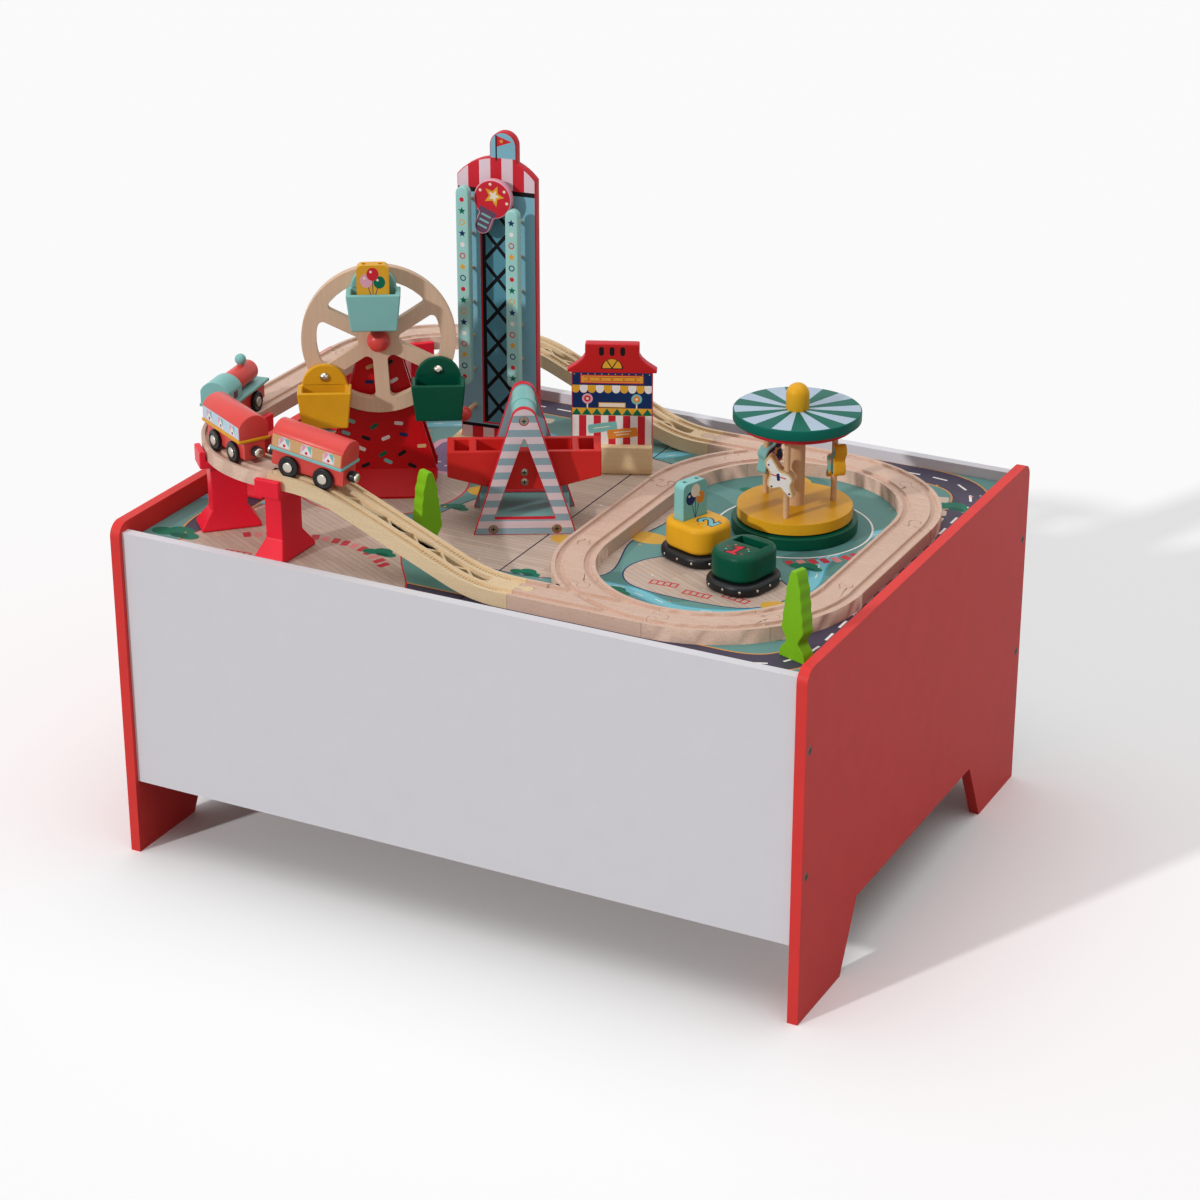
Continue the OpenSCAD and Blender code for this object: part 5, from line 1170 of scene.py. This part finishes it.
def buildRiders():
    inks = inkSet("yellow", "teal", "pink", "red", "green", "cream", "navy", "orange")
    inGondola = spot(*gondolaPin, ferrisYaw) @ shift(*riderBlock["inGondola"])
    inCar = carSpots["yellow"] @ shift(car["slotX"], 0, riderBlock["carSeat"]) @ spin(90)
    looks = (
        ("rider", "rider", inGondola, "yellow", ("pink", "green", "red"), "yellow_wood"),
        ("passenger", "car_passenger", inCar, "teal", ("navy", "orange", "cream"), "teal_wood"),
    )
    w, h = riderBlock["w"] - 2 * riderBlock["inset"], riderBlock["h"] - 2 * riderBlock["inset"]
    knot = riderBlock["knot"]
    for name, body, at, ground, shades, slot in looks:
        drawn = [(bar(0, h / 2, w + 2, h + 2), ground)]
        for (x, z, r), key in zip(riderBlock["balloons"], shades):
            lean = math.degrees(math.atan2(-x, z - knot))
            drawn += [
                (bar(x / 2, (z + knot) / 2, 0.6, z - knot, lean), "navy"), (ring(x, z, r, r * 1.12, 20), key),
                (ring(x - r * 0.3, z + r * 0.4, r * 0.22, count=10), "cream"),
            ]
        drawn += [(star(0, 16.5, 4), "red"), (bar(0, 7, 16, 5, 0, 2), "cream")]
        drawn += [(ring(-6 + 3 * k, 7, 0.9, count=8), "red") for k in range(5)]
        card = plateShape(bar(0, h / 2, w, h, 0, 3.6), film, 0.0, drawn, rim=ground, back=ground)
        face = shift(0, -riderBlock["thick"] / 2 - film / 2, riderBlock["inset"]) @ upright
        addPiece(name + "_print", [moved(card, turn @ face) for turn in bothWays], inks, at, body)


buildRiders()

# Confetti on the sloping faces of the wheel's stand
stand = {"half": 13.0, "foot": 15.0, "lean": 4.72, "thick": 4.0, "footW": 93.0, "topW": 26.0, "h": 121.4}
chips = {"l": 7.6, "w": 3.1, "round": 1.4, "low": 7.0, "high": 96.0, "pitch": 12.5, "proud": 0.12}


def buildConfetti():
    dice = random.Random(5)
    inks = inkSet("green", "black", "navy", "teal", "white", "tan")
    shapes = []
    for turn in bothWays:
        face = turn @ shift(0, -stand["half"], stand["foot"])
        face = face @ spin(-stand["lean"], "X") @ shift(0, -stand["thick"] - chips["proud"], 0) @ upright
        z = chips["low"]
        while z < chips["high"]:
            room = along(stand["footW"], stand["topW"], z / stand["h"]) / 2 - 6
            x = -room + dice.uniform(0, 9)
            while x < room:
                y = z + dice.uniform(-4, 4)
                chip = bar(x, y, chips["l"], chips["w"], dice.uniform(-35, 35), chips["round"])
                chip = plateShape(chip, film, 0.0, rim=0)
                shapes.append(moved(chip, face, dice.randrange(len(inks))))
                x += dice.uniform(15, 21)
            z += chips["pitch"]
    addPiece("confetti", shapes, inks, ferrisSpot, "table")


buildConfetti()
print("riders and confetti printed")

# Train
coach = {
    "turn": -120.0, "l": 66.0, "base": 32.0, "cabinW": 26.0, "wall": 11.0, "rise": 8.5, "floor": 21.5,
    "trimW": 28.0, "trimT": 2.5, "chassisW": 18.2, "low": 4.0, "windows": (-20.5, 0, 20.5),
    "frame": (6.0, 5.4, 4.4, 0.9), "pane": (5.8, 4.2, 3.4, 1.8),
}
engine = {
    "turn": -172.0, "l": 75.0, "base": 36.0, "cab": 25.0, "boilerR": 9.0, "boilerL": 42.0, "ballR": 4.8,
    "stemR": 2.2,
}
wheel = {"axleZ": 6.8, "r": 9.1, "w": 3.4, "gauge": 22.6, "axleR": 1.3, "hub": 4.3}
coupler = {"r": 4.5, "l": 9.0, "seat": 3.0, "z": 11.5}
bridgeTop = 356.0
bridgeSpot = shift(-176.0, -88.0, bridgeTop)
bridgeR = 98.0
bendR = 121.14
rampTilt = 7.851


def onCurve(vehicle):
    reach = math.sqrt(bridgeR ** 2 - vehicle["base"] ** 2 / 4)
    return bridgeSpot @ spin(vehicle["turn"]) @ shift(reach) @ spin(-90)


rise = math.sqrt((bendR + wheel["axleZ"]) ** 2 - coach["base"] ** 2 / 4) - wheel["axleZ"]
onRamp = shift(-160.0, -186.0, bridgeTop - bendR) @ spin(rampTilt, "Y") @ shift(0, 0, rise) @ spin(180)
vehicles = {"engine": onCurve(engine), "coach1": onCurve(coach), "coach2": onRamp}


def buildWheels(name, base):
    outer = wheel["gauge"] / 2 + wheel["w"] / 2
    inner, r = outer - wheel["w"], wheel["r"]
    tyre = [
        (0, inner), (r - 1.2, inner), (r, inner + 0.8), (r, outer - 0.9), (r - 0.5, outer - 0.2),
        (r - 1.5, outer), (r - 2.6, outer - 0.15), (wheel["hub"] + 0.5, outer - 0.7), (0, outer - 0.7),
    ]
    hub = [
        (0, outer - 1.4), (wheel["hub"], outer - 1.4), (wheel["hub"], outer + 0.2),
        (wheel["hub"] - 0.5, outer + 0.6), (0, outer + 0.75),
    ]
    rod = rodProfile(wheel["axleR"], -inner - 1, inner + 1)
    shapes = []
    for s in (-1, 1):
        tip = spin(-90 * s, "X")
        shapes += [
            moved(latheShape(softProfile(tyre, 0.4), 0, 48), tip),
            moved(latheShape(softProfile(hub, 0.3), 1, 32), tip),
        ]
    shapes.append(moved(latheShape(rod, 1, 16), upright))
    for s, end in ((1, "front"), (-1, "rear")):
        at = vehicles[name] @ shift(s * base / 2, 0, wheel["axleZ"])
        addPiece(
            f"{name}_{end}_tyres", shapes, [blackAbs, nickel], at, f"{name}_{end}_axle",
            [f"{name}_{end}_wheels"],
        )


def couplerShapes(s, l):
    sleeve = [
        (0, -coupler["seat"]), (3.2, -coupler["seat"]), (3.2, 0.8), (coupler["r"], 1.4), (coupler["r"], 6.2),
        (3.6, 6.8), (0, 6.8),
    ]
    magnet = [(0, 6.0), (3.7, 6.0), (3.7, 8.0), (2.8, 8.7), (0, coupler["l"])]
    at = shift(s * l / 2, 0, coupler["z"]) @ spin(90 * s, "Y")
    return [
        moved(latheShape(softProfile(sleeve, 0.5), 0, 32), at),
        moved(latheShape(softProfile(magnet, 0.5), 1, 32), at),
    ]


def buildCoach(name, band, trimPaint, shades):
    at = vehicles[name]
    l, w, wall = coach["l"], coach["cabinW"], coach["wall"]
    block = plateShape(
        bar(0, 0, l, coach["chassisW"]), coach["floor"] - coach["trimT"] - coach["low"], 0.8, rim=0
    )
    trim = plateShape(bar(0, 0, l + 1, coach["trimW"], 0, 0.8), coach["trimT"], 0.5, rim=0)
    shapes = [
        moved(block, shift(0, 0, coach["floor"] - coach["trimT"])),
        moved(trim, shift(0, 0, coach["floor"]), 1),
    ]
    addPiece(name + "_frame", shapes, [trainRed, trimPaint], at, name, [name + "_chassis"])

    roofR = (w * w / 4 + coach["rise"] ** 2) / (2 * coach["rise"])
    centre = wall + coach["rise"] - roofR
    half = math.degrees(math.asin(w / 2 / roofR))
    outline = [(-w / 2, 0), (w / 2, 0)] + ring(0, centre, roofR, count=20, start=90 - half, sweep=2 * half)
    cabin = plateShape(outline, l, 0.8, rim=0)
    inks = inkSet(band, "white", "stripeWhite", *shades)
    leftShade, rightShade, dotShade = shades
    drawn = []

    def arch(x, z, r, rise, sill):
        return ring(x, z, r, rise, 14, 0, 180) + flatPoints([(x - r, sill), (x + r, sill)])

    for x in coach["windows"]:
        drawn += [(arch(x, *coach["frame"]), "stripeWhite"), (arch(x, *coach["pane"]), "white")]
        for s, shade in ((-1, leftShade), (1, rightShade)):
            curtain = [(x + s * 4.3, 9.6), (x + s * 0.3, 9.2), (x + s * 1.8, 6.2), (x + s * 4.3, 3.0)]
            drawn.append((smoothLine(curtain, 4), shade))
        drawn.append((ring(x, 3.2, 1.3, count=10), dotShade))
    sidePlate = plateShape(
        bar(0, wall / 2 + 0.1, l - 2.6, wall - 0.6), film, 0.0, drawn, ground=band, rim=band
    )
    shapes = [moved(cabin, shift(l / 2, 0, coach["floor"]) @ sideways)]
    for turn in bothWays:
        shapes.append(moved(sidePlate, turn @ shift(0, -w / 2 - film / 2, coach["floor"]) @ upright))
    addPiece(name + "_body", shapes, [trainRed] + inks, at, name, [name + "_cabin"])
    ends = couplerShapes(1, l) + couplerShapes(-1, l)
    addPiece(name + "_magnets", ends, [blackAbs, nickel], at, name, [name + "_couplers"])
    buildWheels(name, coach["base"])


def buildEngine():
    at = vehicles["engine"]
    boilerX, boilerZ = -engine["l"] / 2 + engine["cab"], coach["floor"] + engine["boilerR"]
    r, l = engine["boilerR"], engine["boilerL"]
    barrel = [(0, -0.3), (r, -0.3), (r, l - 1.6), (r - 1.6, l), (2.6, l), (2.6, l + 0.4), (0, l + 0.4)]
    funnelX, ballZ = boilerX + 0.62 * l, boilerZ + r + engine["ballR"]
    ball = ballProfile(engine["ballR"], 14)
    stemR = engine["stemR"]
    stem = [(0, -3), (stemR + 0.8, -3), (stemR + 0.6, 0.4), (stemR, 1.2), (stemR, 4), (0, 4)]
    shapes = [
        moved(latheShape(softProfile(barrel, 0.8), 0, 56), shift(boilerX, 0, boilerZ) @ spin(90, "Y")),
        moved(latheShape(stem, 0, 24), shift(funnelX, 0, boilerZ + r)),
        moved(latheShape(ball, 1, 32), shift(funnelX, 0, ballZ)),
    ]
    addPiece("engine_barrel", shapes, [trainRed, tealPaint], at, "engine", ["engine_boiler"])
    tail = couplerShapes(-1, engine["l"])
    addPiece("engine_magnet", tail, [blackAbs, nickel], at, "engine", ["engine_coupler"])
    inks = inkSet("plum", "cream")
    glass = [(bar(0, 6.5, 6.6, 5.0, 0, 0.9), "plum")]
    pane = plateShape(bar(0, 6.5, 8, 6.4, 0, 1.2), film, 0.0, glass, rim="cream")
    middle, face = (engine["l"] - engine["cab"]) / 2, -coach["cabinW"] / 2 - film / 2
    panes = []
    for turn, x in zip(bothWays, (-middle, middle)):
        panes.append(moved(pane, turn @ shift(x, face, coach["floor"]) @ upright))
    addPiece("cab_windows", panes, inks, at, "engine")
    buildWheels("engine", engine["base"])


buildEngine()
buildCoach("coach1", "sky", yellowPaint, ("pink", "teal", "plum"))
buildCoach("coach2", "tan", tealPaint, ("pink", "teal", "red"))
print("train built")

# Fine ribs in the grooves of the two ramps
ramp = {
    "x": -176.0, "flat": 16.0, "tail": 8.0, "slope": 23.0, "rise": 61.0, "end": 41.0,
    "lines": (-186.0, 178.0), "pitch": 2.6, "wheelsTo": -40.0, "grooveY": 11.3, "grooveZ": 9.4, "rib": 0.75,
    "wornRib": 0.06, "ribsFrom": -156.0, "ribsTo": 27.0, "ribW": 1.1, "ribL": 6.0,
}


def rampHeight(x):
    slope = math.radians(ramp["slope"])
    bend = bendR * math.sin(slope)
    run = ramp["end"] - ramp["x"] - ramp["flat"] - ramp["tail"]
    d = min(max(x - ramp["x"] - ramp["flat"], 0.0), run)
    if d < bend:
        return ramp["rise"] - (bendR - math.sqrt(bendR ** 2 - d * d))
    if d > run - bend:
        return bendR - math.sqrt(bendR ** 2 - (run - d) ** 2)
    return ramp["rise"] - (bendR - bendR * math.cos(slope)) - (d - bend) * math.tan(slope)


def buildRibs():
    rib = plateShape(bar(0, 0, ramp["ribW"], ramp["ribL"]), 1.2, 0.0, rim=0)
    shapes = []
    floor = boardTop + ramp["grooveZ"]
    x = ramp["ribsFrom"]
    while x < ramp["ribsTo"]:
        lean = math.degrees(math.atan2(rampHeight(x + 0.5) - rampHeight(x - 0.5), 1.0))
        for y in ramp["lines"]:
            worn = y < 0 and x < ramp["wheelsTo"]  # flatter where the wheels of the train run
            tall = ramp["wornRib"] if worn else ramp["rib"]
            for s in (-1, 1):
                at = shift(x, y + s * ramp["grooveY"], floor + rampHeight(x) + tall) @ spin(-lean, "Y")
                shapes.append(moved(rib, at))
        x += ramp["pitch"]
    addPiece("ramp_ribs", shapes, [rampBeech], inPlace, "table")


buildRibs()
print("ramps ribbed")
